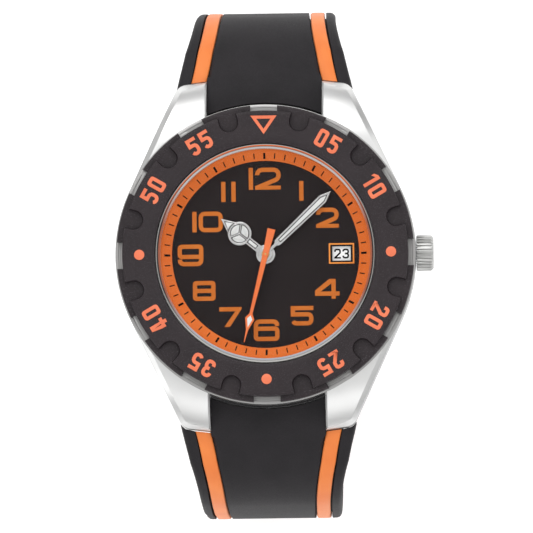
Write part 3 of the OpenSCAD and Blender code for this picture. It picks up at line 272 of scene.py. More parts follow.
MATERIALS = {
    "case_steel": material("case_steel", (0.66, 0.66, 0.655), (0.72, 0.72, 0.715), (0.34, 0.40),
                           grain=0.06, bump=0.0012, metallic=1.0, blotch=6,
                           # shoulder and flank are painted shade, under the bezel and on upright
                           # faces
                           shoulder=(0.36, 0.355, 0.35), flank=(0.34, 0.34, 0.335),
                           # edge: painted reflections of the flange round the crystal
                           edge=((0.62, 0.15, 0.055), (0.06, 0.055, 0.055),
                                 (0.50, 0.49, 0.47), (0.40, 0.395, 0.38))),
    "back_steel": material("back_steel", (0.58, 0.58, 0.57), (0.74, 0.74, 0.73), (0.20, 0.38),
                           grain=0.05, bump=0.002, metallic=1.0, rings=DIAL_AXIS),
    "crown_steel": material("crown_steel", (0.42, 0.42, 0.41), (0.52, 0.52, 0.51), (0.34, 0.46),
                            grain=0.05, bump=0.001, metallic=1.0, rings=STEM_AXIS),
    "buckle_steel": material("buckle_steel", (0.62, 0.62, 0.61), (0.78, 0.78, 0.77), (0.24, 0.42),
                             grain=0.06, bump=0.002, metallic=1.0, stretch=(0.03, 1, 1)),
    "bezel_black": material("bezel_black", (0.0115, 0.0070, 0.0088), (0.0190, 0.0125, 0.0148),
                            (0.44, 0.60), grain=0.09, bump=0.005, blotch=5,
                            speck=(0.11, 0.34, (0.052, 0.044, 0.050)),
                            sockets={"Specular IOR Level": 0.32}),
    "bezel_orange": material("bezel_orange", (0.68, 0.135, 0.055), (0.78, 0.185, 0.080),
                             (0.45, 0.62), grain=0.12, bump=0.003),
    "flange_orange": material("flange_orange", (0.82, 0.165, 0.022), (0.90, 0.21, 0.040),
                              (0.40, 0.52), grain=0.1, bump=0.001, blotch=5,
                              sockets={"Specular IOR Level": 0.25}),
    "print_black": material("print_black", (0.003, 0.002, 0.002), (0.006, 0.005, 0.005),
                            (0.45, 0.6), grain=0.08, sockets={"Specular IOR Level": 0.05}),
    "dial_black": material("dial_black", (0.0095, 0.0052, 0.0058), (0.0140, 0.0088, 0.0092),
                           (0.50, 0.66), grain=0.07, bump=0.001, blotch=6,
                           sockets={"Specular IOR Level": 0.12}),
    "print_orange": material("print_orange", (0.86, 0.27, 0.040), (0.92, 0.33, 0.060),
                             (0.4, 0.55), grain=0.09, bump=0.002,
                             sockets={"Specular IOR Level": 0.2}),
    "numeral_core": material("numeral_core", (0.55, 0.140, 0.016), (0.63, 0.175, 0.025),
                             (0.5, 0.7), grain=0.07, bump=0.004,
                             sockets={"Specular IOR Level": 0.15}),
    "hand_steel": material("hand_steel", (0.56, 0.56, 0.56), (0.68, 0.68, 0.67), (0.16, 0.28),
                           grain=0.1, bump=0.0004, metallic=1.0, stretch=(1, 1, 0.1)),
    "hand_orange": material("hand_orange", (0.78, 0.135, 0.016), (0.88, 0.18, 0.030),
                            (0.28, 0.42), grain=0.15, bump=0.0008,
                            sockets={"Coat Weight": 0.3}),
    "lume_white": material("lume_white", (0.70, 0.71, 0.70), (0.80, 0.81, 0.80), (0.6, 0.8),
                           grain=0.06, bump=0.004),
    # The date disc's slight emission is painted light that brightens it in the window's shade
    "date_white": material("date_white", (0.93, 0.93, 0.93), (0.98, 0.98, 0.98), (0.4, 0.55),
                           grain=0.1, bump=0.0006, sockets={"Emission Color": (1, 1, 1, 1),
                                                            "Emission Strength": 0.12}),
    "strap_rubber": material("strap_rubber", (0.0070, 0.0055, 0.0072), (0.0120, 0.0098, 0.0122),
                             (0.60, 0.80), grain=0.11, bump=0.008, blotch=4,
                             sockets={"Specular IOR Level": 0.34}),
    "strap_orange": material("strap_orange", (0.74, 0.165, 0.022), (0.82, 0.22, 0.038),
                             (0.50, 0.68), grain=0.11, bump=0.006, blotch=4,
                             sockets={"Sheen Weight": 0.1}),
    "seal_rubber": material("seal_rubber", (0.012, 0.012, 0.012), (0.03, 0.03, 0.03),
                            (0.5, 0.7), grain=0.1, bump=0.003),
    "seal_nylon": material("seal_nylon", (0.62, 0.61, 0.60), (0.72, 0.71, 0.70), (0.3, 0.45),
                           grain=0.12, bump=0.001,
                           # edge: painted reflections of the flange round the crystal
                           edge=((0.42, 0.42, 0.42), (0.30, 0.075, 0.03), (0.36, 0.38, 0.42))),
    "spring_steel": material("spring_steel", (0.52, 0.53, 0.56), (0.70, 0.71, 0.74),
                             (0.18, 0.32), grain=0.06, bump=0.0008, metallic=1.0),
    "wheel_brass": material("wheel_brass", (0.62, 0.42, 0.14), (0.80, 0.60, 0.26),
                            (0.18, 0.34), grain=0.05, bump=0.0008, metallic=1.0),
    "rotor_magnet": material("rotor_magnet", (0.10, 0.10, 0.12), (0.22, 0.22, 0.25),
                             (0.35, 0.5), grain=0.06, bump=0.001, metallic=1.0),
    "wheel_plastic": material("wheel_plastic", (0.70, 0.70, 0.64), (0.84, 0.84, 0.79),
                              (0.4, 0.55), grain=0.1, bump=0.001),
    "plate_brass": material("plate_brass", (0.56, 0.40, 0.17), (0.74, 0.57, 0.30),
                            (0.28, 0.42), grain=0.06, bump=0.001, metallic=1.0,
                            rings=DIAL_AXIS),
    "bridge_metal": material("bridge_metal", (0.52, 0.50, 0.46), (0.70, 0.68, 0.64),
                             (0.24, 0.40), grain=0.05, bump=0.001, metallic=1.0,
                             stretch=(0.03, 1, 1)),
    "iron": material("iron", (0.34, 0.34, 0.36), (0.50, 0.50, 0.52), (0.35, 0.5), grain=0.06,
                     bump=0.001, metallic=1.0),
    "copper_wire": material("copper_wire", (0.42, 0.13, 0.04), (0.74, 0.32, 0.13),
                            (0.25, 0.4), grain=0.04, bump=0.004, metallic=1.0),
    "board_green": material("board_green", (0.010, 0.10, 0.045), (0.03, 0.20, 0.10),
                            (0.25, 0.4), grain=0.12, bump=0.002),
    "can_steel": material("can_steel", (0.66, 0.66, 0.64), (0.80, 0.80, 0.78), (0.15, 0.28),
                          grain=0.08, bump=0.0006, metallic=1.0),
    "cell_steel": material("cell_steel", (0.62, 0.62, 0.60), (0.78, 0.78, 0.76), (0.12, 0.25),
                           grain=0.08, bump=0.0006, metallic=1.0),
    "clamp_steel": material("clamp_steel", (0.54, 0.53, 0.48), (0.70, 0.69, 0.64),
                            (0.25, 0.4), grain=0.05, bump=0.001, metallic=1.0),
    "screw_steel": material("screw_steel", (0.24, 0.26, 0.34), (0.40, 0.42, 0.50),
                            (0.18, 0.3), grain=0.06, bump=0.0008, metallic=1.0),
    "holder_plastic": material("holder_plastic", (0.78, 0.78, 0.74), (0.88, 0.88, 0.85),
                               (0.35, 0.5), grain=0.12, bump=0.001),
    "crystal_glass": material("crystal_glass", (0.02, 0.025, 0.025), (0.03, 0.035, 0.035),
                              (0.015, 0.03), grain=2.0, blotch=9,
                              sockets={"Alpha": 0.05, "IOR": 1.5}),
}


# ---- Meshes ----------------------------------------------------------------

# Points closer than this are one point, and edges shorter than a sliver are dissolved
WELD, SLIVER = 0.0005 * MM, 0.0002 * MM


def mesh_object(name, verts, faces, slot, body, replaces=(), sharp=38, bevel=0.0):
    """A piece from points in millimetres, riding on a body and standing for CAD nodes."""
    data = bpy.data.meshes.new(name)
    data.from_pydata([tuple(c * MM for c in v) for v in verts], [], faces)
    bm = bmesh.new()
    bm.from_mesh(data)
    bmesh.ops.remove_doubles(bm, verts=bm.verts, dist=WELD)
    bmesh.ops.dissolve_degenerate(bm, edges=bm.edges, dist=SLIVER)
    bmesh.ops.recalc_face_normals(bm, faces=bm.faces)
    bm.to_mesh(data)
    bm.free()
    add_piece(name, data, slot, body, replaces, sharp, bevel)


def add_piece(name, data, slot, body, replaces=(), sharp=38, bevel=0.0, look=None):
    """A mesh in metres as a piece; look names its material when that isn't the slot's."""
    data.materials.clear()
    data.materials.append(MATERIALS[look or slot])
    piece = bpy.data.objects.new(name, data)
    bpy.context.scene.collection.objects.link(piece)
    shade(piece, sharp, bevel)
    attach(piece, body)
    if replaces:
        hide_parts(*replaces)


def shade(piece, sharp, bevel, segments=2):
    """Smooth shading with sharp edges kept, and edges rounded by bevel millimetres."""
    piece.data.shade_smooth()
    piece.data.set_sharp_from_angle(angle=math.radians(sharp))
    if bevel:
        m = piece.modifiers.new("rounded_edges", "BEVEL")
        m.width = bevel * MM
        m.segments = segments
        m.limit_method = "ANGLE"
        m.angle_limit = math.radians(sharp)
        m.harden_normals = True
        m.use_clamp_overlap = True


def skin(loops, cap=True):
    """Faces over a list of equal closed loops; the first and last are capped if cap is on."""
    verts = [p for loop in loops for p in loop]
    n = len(loops[0])
    faces = []
    for i in range(len(loops) - 1):
        for j in range(n):
            k = (j + 1) % n
            faces.append((i * n + j, i * n + k, (i + 1) * n + k, (i + 1) * n + j))
    if cap:
        faces.append(tuple(reversed(range(n))))
        faces.append(tuple(range((len(loops) - 1) * n, len(loops) * n)))
    return verts, faces


def lathe(profile, steps):
    """A closed profile of (radius, height) turned about +Z."""
    angles = [TAU * i / steps for i in range(steps)]
    loops = [[(r * math.cos(a), r * math.sin(a), h) for r, h in profile] for a in angles]
    verts = [p for loop in loops for p in loop]
    n = len(profile)
    faces = []
    for i in range(steps):
        for j in range(n):
            k = (j + 1) % n
            m = (i + 1) % steps
            faces.append((i * n + j, i * n + k, m * n + k, m * n + j))
    return verts, faces


def merged(parts):
    """Several (verts, faces) pairs as one."""
    verts, faces = [], []
    for v, f in parts:
        faces += [tuple(i + len(verts) for i in face) for face in f]
        verts += v
    return verts, faces


def mirror_part(part, sx, sy):
    """The part with its x and y multiplied by sx and sy, which are 1 or -1."""
    v, f = part
    v = [(x * sx, y * sy, z) for x, y, z in v]
    return v, [tuple(reversed(q)) for q in f] if sx * sy < 0 else f


# ---- Case ------------------------------------------------------------------

CASE_R = 20.2
CASE_TOP = 7.35
CASE_STEPS = 240

LUG_GAP = 15.5
LUG_REACH = cad("case_body")[1].y
# Direction from the axis of the point where the straight flank leaves the round case
FLANK_ANGLE = 25.25
# Centre and radius of the round corner at the flank's end, and the direction where it stops
LUG_CORNER = (10.19, 21.38, 1.9)
LUG_CORNER_END = 82.8
LUG_CORNER_STEPS = 8
# The lug is buried in the case from this y, down to this radius
LUG_ROOT_Y = 6.0
LUG_ROOT_R = 16.5
LUG_ROWS = 26
# The top is flat up to FALL_Y and then falls to TIP_Z at the lug's end
FALL_Y, TIP_Z = 15.5, 3.3
TOP_SINK = 0.012
# The underside is level up to LEVEL_Y, rises a little up to RISE_Y and then at 45 degrees
LUG_LOW_Z, LEVEL_Y = 0.72, 16
RISE_Z, RISE_Y = 0.92, 22.8
# Section of the lug's edge from below to above: inset, whether the height counts from the
# lug's top, and height
LUG_SECTION = [
    (0.30, False, 0.0), (0.09, False, 0.08), (0.0, False, 0.28), (0.0, True, -0.36),
    (0.13, True, -0.25), (0.50, True, -0.13), (0.62, True, -0.03), (0.70, True, 0.0),
]
# The inner edge, beside the strap, is rounded this much less than the flank
INNER_EDGE_SHARE = 0.4


def case_middle():
    """The turned body: its (radius, height) section runs from the back's seat outwards."""
    profile = [
        (17.05, 0.75), (17.1, 0.70), (18.5, 0.70), (18.65, 0.75), (20.1, 2.1), (CASE_R, 2.3),
        (CASE_R, 7.2), (20.15, 7.31), (20.05, CASE_TOP), (19.78, CASE_TOP), (19.74, 7.27),
        (19.52, 7.27), (19.48, CASE_TOP), (16.0, CASE_TOP), (16.0, 8.15), (15.75, 8.15),
        (15.75, 8.55), (16.0, 8.55), (16.0, 8.86), (15.96, 8.9), (14.72, 8.9), (14.72, 9.83),
        (14.66, 9.9), (14.46, 9.9), (14.40, 9.85), (14.40, 6.55), (15.0, 6.55), (15.0, 2.45),
        (15.8, 2.45), (15.8, 1.02), (17.05, 1.02),
    ]
    return lathe(profile, CASE_STEPS)


def lug_outline(rows):
    """Pairs of points with the same y: the lug's inner edge and its flank, up to its end."""
    cx, cy, r = LUG_CORNER
    tangent = polar(CASE_R, FLANK_ANGLE)
    corner = (cx + polar(r, FLANK_ANGLE)[0], cy + polar(r, FLANK_ANGLE)[1])
    pairs = []
    for i in range(rows + 1):
        y = LUG_ROOT_Y + (corner[1] - LUG_ROOT_Y) * i / rows
        if y < tangent[1]:
            x = math.sqrt(CASE_R**2 - y * y) - 0.01
        else:
            t = (y - tangent[1]) / (corner[1] - tangent[1])
            x = tangent[0] + (corner[0] - tangent[0]) * t
        inner = math.sqrt(max(LUG_ROOT_R**2 - y * y, (LUG_GAP / 2) ** 2))
        pairs.append(((inner, y), (x, y)))
    for i in range(1, LUG_CORNER_STEPS + 1):
        turn = (LUG_CORNER_END - FLANK_ANGLE) * i / LUG_CORNER_STEPS
        dx, dy = polar(r, FLANK_ANGLE + turn)
        pairs.append(((LUG_GAP / 2, cy + dy), (cx + dx, cy + dy)))
    return pairs


def lug_top(y):
    """Height of the lug's top: flat over the case, then a round fall to the tip."""
    drop = CASE_TOP - TIP_Z
    run = LUG_REACH - FALL_Y
    r = (run * run + drop * drop) / (2 * drop)
    d = min(max(y - FALL_Y, 0.0), run)
    return CASE_TOP - TOP_SINK - r + math.sqrt(r * r - d * d)


def lug_bottom(y):
    """Height of the lug's underside."""
    if y < LEVEL_Y:
        return LUG_LOW_Z
    if y < RISE_Y:
        return LUG_LOW_Z + (RISE_Z - LUG_LOW_Z) * (y - LEVEL_Y) / (RISE_Y - LEVEL_Y)
    return RISE_Z + (y - RISE_Y)


def inset(points, d):
    """The closed outline moved inwards by d; points run anticlockwise."""
    out = []
    n = len(points)
    for i, p in enumerate(points):
        a, b = Vector(points[i - 1]), Vector(points[(i + 1) % n])
        p = Vector(p)
        u, v = (p - a).normalized(), (b - p).normalized()
        m = Vector((-(u.y + v.y), u.x + v.x)).normalized()
        c = max(0.55, m.dot(Vector((-u.y, u.x))))
        out.append(tuple(p + m * (d / c)))
    return out


def lug():
    """The lug beside 1 o'clock; the other three are its mirror images."""
    pairs = lug_outline(LUG_ROWS)
    right = [flank for _, flank in pairs]
    left = [inner for inner, _ in pairs]
    tip = (LUG_GAP / 2, LUG_REACH)
    outline = right + [tip] + list(reversed(left))
    loops = []
    for d, top, dz in LUG_SECTION:
        height = lug_top if top else lug_bottom
        inner = LUG_GAP / 2 + INNER_EDGE_SHARE * d
        moved = [(inner, q[1]) if p[0] == LUG_GAP / 2 else q
                 for p, q in zip(outline, inset(outline, d))]
        loops.append([(x, y, height(y) + dz) for x, y in moved])
    verts, faces = skin(loops, cap=False)
    n, rows = len(outline), len(right)
    for base, flip in ((0, True), ((len(loops) - 1) * n, False)):
        for k in range(rows - 1):
            quad = (base + k, base + k + 1, base + n - 2 - k, base + n - 1 - k)
            faces.append(tuple(reversed(quad)) if flip else quad)
        end = (base + rows - 1, base + rows, base + rows + 1)
        faces.append(tuple(reversed(end)) if flip else end)
    return verts, faces


lug_part = lug()
case_parts = [case_middle()]
case_parts += [mirror_part(lug_part, sx, sy) for sx in (1, -1) for sy in (1, -1)]
mesh_object("case", *merged(case_parts), "case_steel", "case", ["case_body"], sharp=32)


# ---- Bezel -----------------------------------------------------------------

BEZEL_R = 20.0
UPPER_R = 19.2
BEZEL_TOP = 10.0
STEP_Z = 9.2
BEZEL_BOTTOM = 7.4
BEZEL_EDGE = 0.05
BEZEL_PARTS = 12
NOTCH_HALF = 1.82
SCOOP_HALF = 1.32
SCOOP_CENTRE = 18.25
SCOOP_FLOOR = 9.22
SCOOP_DRAFT = 0.14


def bezel_profile(kind, w):
    """(radius, height) round the bezel's section at one column, from the bore outwards."""
    scoop = kind == "scoop"
    reach = math.sqrt(max(SCOOP_HALF**2 - w * w, 0.0)) if scoop else 0.0
    start = SCOOP_CENTRE - reach
    floor = SCOOP_FLOOR if scoop else BEZEL_TOP
    foot = start + (SCOOP_DRAFT if scoop else 0.0)
    rows = [(14.80, 8.96), (14.80, 9.86), (14.86, 9.96), (14.97, BEZEL_TOP)]
    rows += [(15.6, BEZEL_TOP), (16.3, BEZEL_TOP), (start - 0.08, BEZEL_TOP), (start, BEZEL_TOP)]
    rows += [(foot, floor), (foot + (19.0 - foot) * 0.5, floor), (19.0, floor)]
    rows += [(19.12, min(9.96, floor)), (UPPER_R, min(9.86, floor)), (UPPER_R, min(9.5, floor)),
             (UPPER_R, STEP_Z), (19.5, STEP_Z), (19.84, STEP_Z), (19.95, 9.16),
             (BEZEL_R, 9.06), (BEZEL_R, 7.55), (19.93, BEZEL_BOTTOM), (UPPER_R, BEZEL_BOTTOM),
             (17.9, BEZEL_BOTTOM), (17.6, 8.0), (16.1, 8.0), (16.1, 8.96)]
    return rows


def bezel_columns():
    """Half a twelfth, from a notch's middle to a scoop's: (kind, half width, angle)."""
    half = [("plain", None, a) for a in (0.0, 1.3, 2.6, 3.9)]
    half += [("notch", NOTCH_HALF, None), ("plain", NOTCH_HALF, None)]
    half += [("plain", None, a) for a in (6.3, 7.4, 8.5, 9.6)]
    half += [("plain", SCOOP_HALF, None), ("scoop", SCOOP_HALF, None)]
    half += [("scoop", SCOOP_HALF * cosd(a), None) for a in (12, 24, 36, 48, 60, 72, 81, 90)]
    return half


def bezel_ring():
    """The bezel as one closed mesh, a column of bezel_profile() at each angle."""
    half = bezel_columns()
    columns = [(kind, w, a, -1) for kind, w, a in reversed(half)]
    columns += [(kind, w, a, 1) for kind, w, a in half[1:]]
    loops = []
    for s in range(BEZEL_PARTS):
        for kind, w, a, side in columns[:-1]:
            notched = kind == "notch" or (kind == "plain" and a is not None and a < 5)
            loop = []
            for r, z in bezel_profile(kind, w):
                if notched and r > UPPER_R and z < STEP_Z + 0.01:
                    r = UPPER_R
                if w is None:
                    angle = side * a
                elif w == NOTCH_HALF:
                    angle = side * math.degrees(math.asin(w / max(r, UPPER_R)))
                else:
                    in_scoop = kind == "scoop" and r > SCOOP_CENTRE - SCOOP_HALF
                    if in_scoop and z < BEZEL_TOP - 0.1:
                        across = w * (SCOOP_HALF - SCOOP_DRAFT) / SCOOP_HALF
                    else:
                        across = w
                    angle = side * (15 - math.degrees(math.asin(across / max(r, 16.3))))
                loop.append((*polar(r, s * 30 + angle), z))
            loops.append(loop)
    verts = [p for loop in loops for p in loop]
    n, m = len(loops[0]), len(loops)
    faces = []
    for i in range(m):
        for j in range(n):
            k, q = (j + 1) % n, (i + 1) % m
            faces.append((i * n + j, q * n + j, q * n + k, i * n + k))
    return verts, faces


mesh_object("bezel", *bezel_ring(), "bezel_black", "bezel", ["bezel_ring"], sharp=34,
            bevel=BEZEL_EDGE)


# ---- Strap -----------------------------------------------------------------

# The strap's inner face in the plane of +Y and +Z: a bend from START, a long side, and a bend
# into the flat stretch at the buckle. Headings are degrees down from +Y.
START = (20.3, 1.15)
HEADING_START, HEADING_SIDE, HEADING_LOW = 8.0, 80.0, 95.0
SIDE_R = 75.0
LOOP_REACH = 31.9
LOOP_DEPTH = 45.0
STRAP_T, STRAP_END_T = 2.5, 2.0
LAYER_GAP = 0.15
BAR_Y = 2.6
# The 6 o'clock half moves to the outer layer between these two places
CROSS_FROM, CROSS_TO = 12.4, 4.2
CROSS_STEPS = 25
TAIL_HEADING = 117.0
TAIL_STEPS = 30
# The tongue between the lugs reaches back this far from START
TONGUE_BACK = 1.55
TONGUE_STEPS = 3

TOP_R = (LOOP_REACH - START[0] - SIDE_R * (1 - sind(HEADING_SIDE))) \
    / (sind(HEADING_SIDE) - sind(HEADING_START))


def bend(p, r, a, b):
    """Where an arc of radius r from p ends when its heading goes from a to b degrees."""
    return (p[0] + r * (sind(b) - sind(a)), p[1] + r * (cosd(b) - cosd(a)))


SIDE_START = bend(START, TOP_R, HEADING_START, HEADING_SIDE)
LOW_START = bend(SIDE_START, SIDE_R, HEADING_SIDE, HEADING_LOW)
LOW_R = (LOOP_DEPTH + LOW_START[1]) / (1 + cosd(HEADING_LOW))
FLAT_Y = LOW_START[0] - LOW_R * sind(HEADING_LOW)


def loop_point(h):
    """The point of the strap's inner face where its heading is h degrees."""
    if h <= HEADING_SIDE:
        return bend(START, TOP_R, HEADING_START, h)
    if h <= HEADING_LOW:
        return bend(SIDE_START, SIDE_R, HEADING_SIDE, h)
    return bend(LOW_START, LOW_R, HEADING_LOW, h)


def thickness(h):
    if h <= HEADING_LOW:
        return STRAP_T
    return STRAP_T + (STRAP_END_T - STRAP_T) * (h - HEADING_LOW) / (180 - HEADING_LOW)


def headings():
    out = [HEADING_START + (HEADING_SIDE - HEADING_START) * i / 30 for i in range(31)]
    out += [HEADING_SIDE + 15 * i / 8 for i in range(1, 9)]
    out += [HEADING_LOW + 85 * i / 36 for i in range(1, 37)]
    return out


def station(y, z, h, t):
    """One place along the strap: inner point, outward direction and thickness."""
    return {"y": y, "z": z, "ny": sind(h), "nz": cosd(h), "t": t}


def half_stations():
    """Stations from the tongue's end between the lugs down to the flat stretch."""
    back = [-TONGUE_BACK + TONGUE_BACK * i / TONGUE_STEPS for i in range(TONGUE_STEPS)]
    out = [station(START[0] + d * cosd(HEADING_START), START[1] - d * sind(HEADING_START),
                   HEADING_START, STRAP_T) for d in back]
    out += [station(*loop_point(h), h, thickness(h)) for h in headings()]
    return out


def stations_12():
    """The 12 o'clock half, wrapped round the buckle's bar at its end."""
    out = half_stations()
    flat = [FLAT_Y - (FLAT_Y + BAR_Y) * i / 14 for i in range(1, 15)]
    out += [station(y, -LOOP_DEPTH, 180, STRAP_END_T) for y in flat]
    r = STRAP_END_T / 2
    for i in range(1, 6):
        a = math.radians(86 * i / 5)
        s = station(-BAR_Y - r * math.sin(a), -LOOP_DEPTH - r * (1 - math.cos(a)), 180,
                    2 * r * math.cos(a))
        out.append(s)
    return out


def stations_6():
    """As half 12, but crossing to the outer layer inside the buckle and on to the tail."""
    out = half_stations()
    out.append(station((FLAT_Y + CROSS_FROM) / 2, -LOOP_DEPTH, 180, STRAP_END_T))
    drop = STRAP_END_T + LAYER_GAP
    for i in range(CROSS_STEPS):
        t = i / (CROSS_STEPS - 1)
        y = CROSS_FROM + (CROSS_TO - CROSS_FROM) * t
        out.append(station(y, -LOOP_DEPTH - drop * smooth(t), 180, STRAP_END_T))
    flat_end = [CROSS_TO + (-FLAT_Y - CROSS_TO) * i / 14 for i in range(1, 15)]
    out += [station(y, -LOOP_DEPTH - drop, 180, STRAP_END_T) for y in flat_end]
    for i in range(1, TAIL_STEPS + 1):
        h = 180 - (180 - TAIL_HEADING) * i / TAIL_STEPS
        y, z = loop_point(h)
        d = thickness(h) + LAYER_GAP
        out.append({"y": -(y + d * sind(h)), "z": z + d * cosd(h), "ny": -sind(h),
                    "nz": cosd(h), "t": STRAP_END_T})
    return out


# Rows before LUG_END lie between the lugs, and the next few close up to the lugs' ends
LUG_END = 23.7
SHOULDER_ROWS = 6
STRAP_CLEARANCE = 0.12
WING_COLUMN = 4
FLARE_LENGTH = 10.7
FLARE_LOWEST = -17
# Half widths at the lugs and further down
STRAP_HALF = (11.9, 9.2)
CHANNEL_IN = (7.70, 5.65)
CHANNEL_OUT = (9.98, 8.02)
GROOVE = (0.10, 0.27)
CHANNEL_DEPTH = 0.85
EDGE_R = 0.75
# The rounded end is this many half widths long, and its last row this share of the width squared
TAIL_ROUNDING = 0.75
TAIL_NARROWEST = 0.02


def flare(pair, s):
    """A width that narrows from the lugs to where the strap turns down."""
    if s["z"] < FLARE_LOWEST:
        return pair[1]
    q = (1 - min(max((s["y"] - LUG_END) / FLARE_LENGTH, 0), 1)) ** 2
    return pair[1] + (pair[0] - pair[1]) * q


def rounded_edge(w, r, count):
    """(x, drop) over a rounded edge that ends at half width w."""
    out = []
    for i in range(count + 1):
        a = math.radians(90 * i / count)
        out.append((w - r + r * math.sin(a), -r * (1 - math.cos(a))))
    return out


def strap_columns(s, stripes):
    """Right half of the section as (x, outer drop, inner rise), from the middle outwards."""
    w, ci, co = flare(STRAP_HALF, s), flare(CHANNEL_IN, s), flare(CHANNEL_OUT, s)
    depth = -CHANNEL_DEPTH if stripes else 0.0
    cols = [(0, 0, 0), (ci * 0.35, 0, 0), (ci * 0.7, 0, 0), (ci - 0.5, 0, 0), (ci, 0, 0),
            (ci, depth, 0), ((ci + co) / 2, depth, 0), (co, depth, 0), (co, 0, 0)]
    for x, drop in rounded_edge(w, EDGE_R, 5):
        cols.append((x, drop, -drop * 0.75))
    return cols


def strap_mesh(stations, sign, channel_until, tail_from=None):
    """The black half as one closed mesh: rows along the strap, columns across it."""
    rows = []
    shoulder = next(i for i, s in enumerate(stations) if s["y"] >= LUG_END)
    for i, s in enumerate(stations):
        right = strap_columns(s, i < channel_until)
        cols = [(-x, a, b) for x, a, b in reversed(right[1:])] + right
        outer, inner = [], []
        for k, (x, drop, rise) in enumerate(cols):
            grow = s["t"] / STRAP_T if s["t"] < 1.9 else 1.0
            y, z = s["y"], s["z"]
            lean = 0.0
            wing = abs(k - len(right) + 1) >= WING_COLUMN
            if i < shoulder or (i < shoulder + 2 and not wing):
                y, z = tongue_point(s, x)
            elif wing and i < shoulder + SHOULDER_ROWS:
                y, z, lean = shoulder_point(s, x, (stations[shoulder],
                                                   stations[shoulder + SHOULDER_ROWS]))
            t = s["t"] + drop * grow
            rise = rise * grow
            if tail_from is not None and i >= tail_from:
                x *= tail_width(stations, i)
            outer.append((x, sign * (y + s["ny"] * t * (1 - lean)), z + s["nz"] * t))
            inner.append((x, sign * (y + s["ny"] * rise), z + s["nz"] * rise))
        rows.append((outer, inner))
    n = len(rows[0][0])
    tongue_from, tongue_to = (n - 1) // 2 - WING_COLUMN, (n - 1) // 2 + WING_COLUMN

    def present(i, j):
        """Whether there is rubber in cell (i, j): the rows between the lugs are narrower."""
        inside = 0 <= i < len(rows) - 1 and 0 <= j < n - 1
        return inside and (i >= shoulder or tongue_from <= j < tongue_to)

    def out(i, j):
        return i * 2 * n + j

    def inn(i, j):
        return i * 2 * n + n + j

    verts = [p for outer, inner in rows for p in outer + inner]
    faces = []
    for i in range(len(rows) - 1):
        for j in range(n - 1):
            if not present(i, j):
                continue
            faces.append((out(i, j), out(i, j + 1), out(i + 1, j + 1), out(i + 1, j)))
            faces.append((inn(i, j), inn(i + 1, j), inn(i + 1, j + 1), inn(i, j + 1)))
            for di, dj, a, b in ((-1, 0, (i, j), (i, j + 1)), (1, 0, (i + 1, j + 1), (i + 1, j)),
                                 (0, -1, (i + 1, j), (i, j)), (0, 1, (i, j + 1), (i + 1, j + 1))):
                if not present(i + di, j + dj):
                    faces.append((out(*b), out(*a), inn(*a), inn(*b)))
    return verts, faces


def lug_end_y(x):
    """The lug's end in plan: a slightly slanted edge and the round corner beside the flank."""
    cx, cy, r = LUG_CORNER
    start = cx + r * cosd(LUG_CORNER_END)
    if x <= start:
        tip = (LUG_GAP / 2, LUG_REACH)
        fall = cy + r * sind(LUG_CORNER_END) - tip[1]
        return tip[1] + fall * (x - tip[0]) / (start - tip[0])
    return cy + math.sqrt(max(r * r - (x - cx) ** 2, 0.0))


def shoulder_point(s, x, span):
    """The strap's shoulder closes up to the lug's slanted end; later rows ease out of it."""
    first, last = span[0]["y"], span[1]["y"]
    share = (last - s["y"]) / (last - first)
    end = lug_end_y(min(abs(x), STRAP_HALF[0])) + STRAP_CLEARANCE
    move = (end - first) * max(share, 0.0)
    return s["y"] + move, s["z"] - move * math.tan(math.radians(10)), share


def tongue_point(s, x):
    """The tongue's end follows the round case; later rows ease into straight lines."""
    clear = CASE_R + STRAP_CLEARANCE
    edge = min(abs(x), LUG_GAP / 2)
    y_case = math.sqrt(clear * clear - edge * edge)
    first = START[0] - TONGUE_BACK * cosd(HEADING_START)
    last = LUG_END + 0.2
    share = max(0.0, (last - s["y"]) / (last - first))
    y = s["y"] + (y_case - first) * share
    return y, s["z"] - (y - s["y"]) * math.tan(math.radians(HEADING_START)) * share


def tail_width(stations, i):
    """Rounds the strap's free end in plan: the share of its width left at station i."""
    left = 0.0
    for a, b in zip(stations[i:], stations[i + 1:]):
        left += math.hypot(b["y"] - a["y"], b["z"] - a["z"])
    length = STRAP_HALF[1] * TAIL_ROUNDING
    if left >= length:
        return 1.0
    u = 1 - left / length
    return math.sqrt(max(1 - u * u, TAIL_NARROWEST))


def stripe_mesh(stations, sign, until):
    """One orange inlay on the +X side: a crowned strip with rounded edges."""
    loops = []
    start = next(i for i, s in enumerate(stations) if s["y"] >= LUG_END)
    chosen = stations[start:until]
    for i, s in enumerate(chosen):
        groove = flare(GROOVE, s)
        a, b = flare(CHANNEL_IN, s) + groove, flare(CHANNEL_OUT, s) - groove
        bottom = s["t"] - CHANNEL_DEPTH + 0.01
        top = s["t"] + 0.03
        section = [(a, bottom), (a, top - 0.22), (a + 0.06, top - 0.09), (a + 0.2, top - 0.02),
                   ((a + b) / 2, top), (b - 0.2, top - 0.02), (b - 0.06, top - 0.09),
                   (b, top - 0.22), (b, bottom)]
        span = (chosen[0], chosen[SHOULDER_ROWS])
        loop = []
        for x, t in section:
            y, z, lean = s["y"], s["z"], 0.0
            if i < SHOULDER_ROWS:
                y, z, lean = shoulder_point(s, x, span)
            loop.append((x, sign * (y + s["ny"] * t * (1 - lean)), z + s["nz"] * t))
        loops.append(loop)
    return skin(loops)


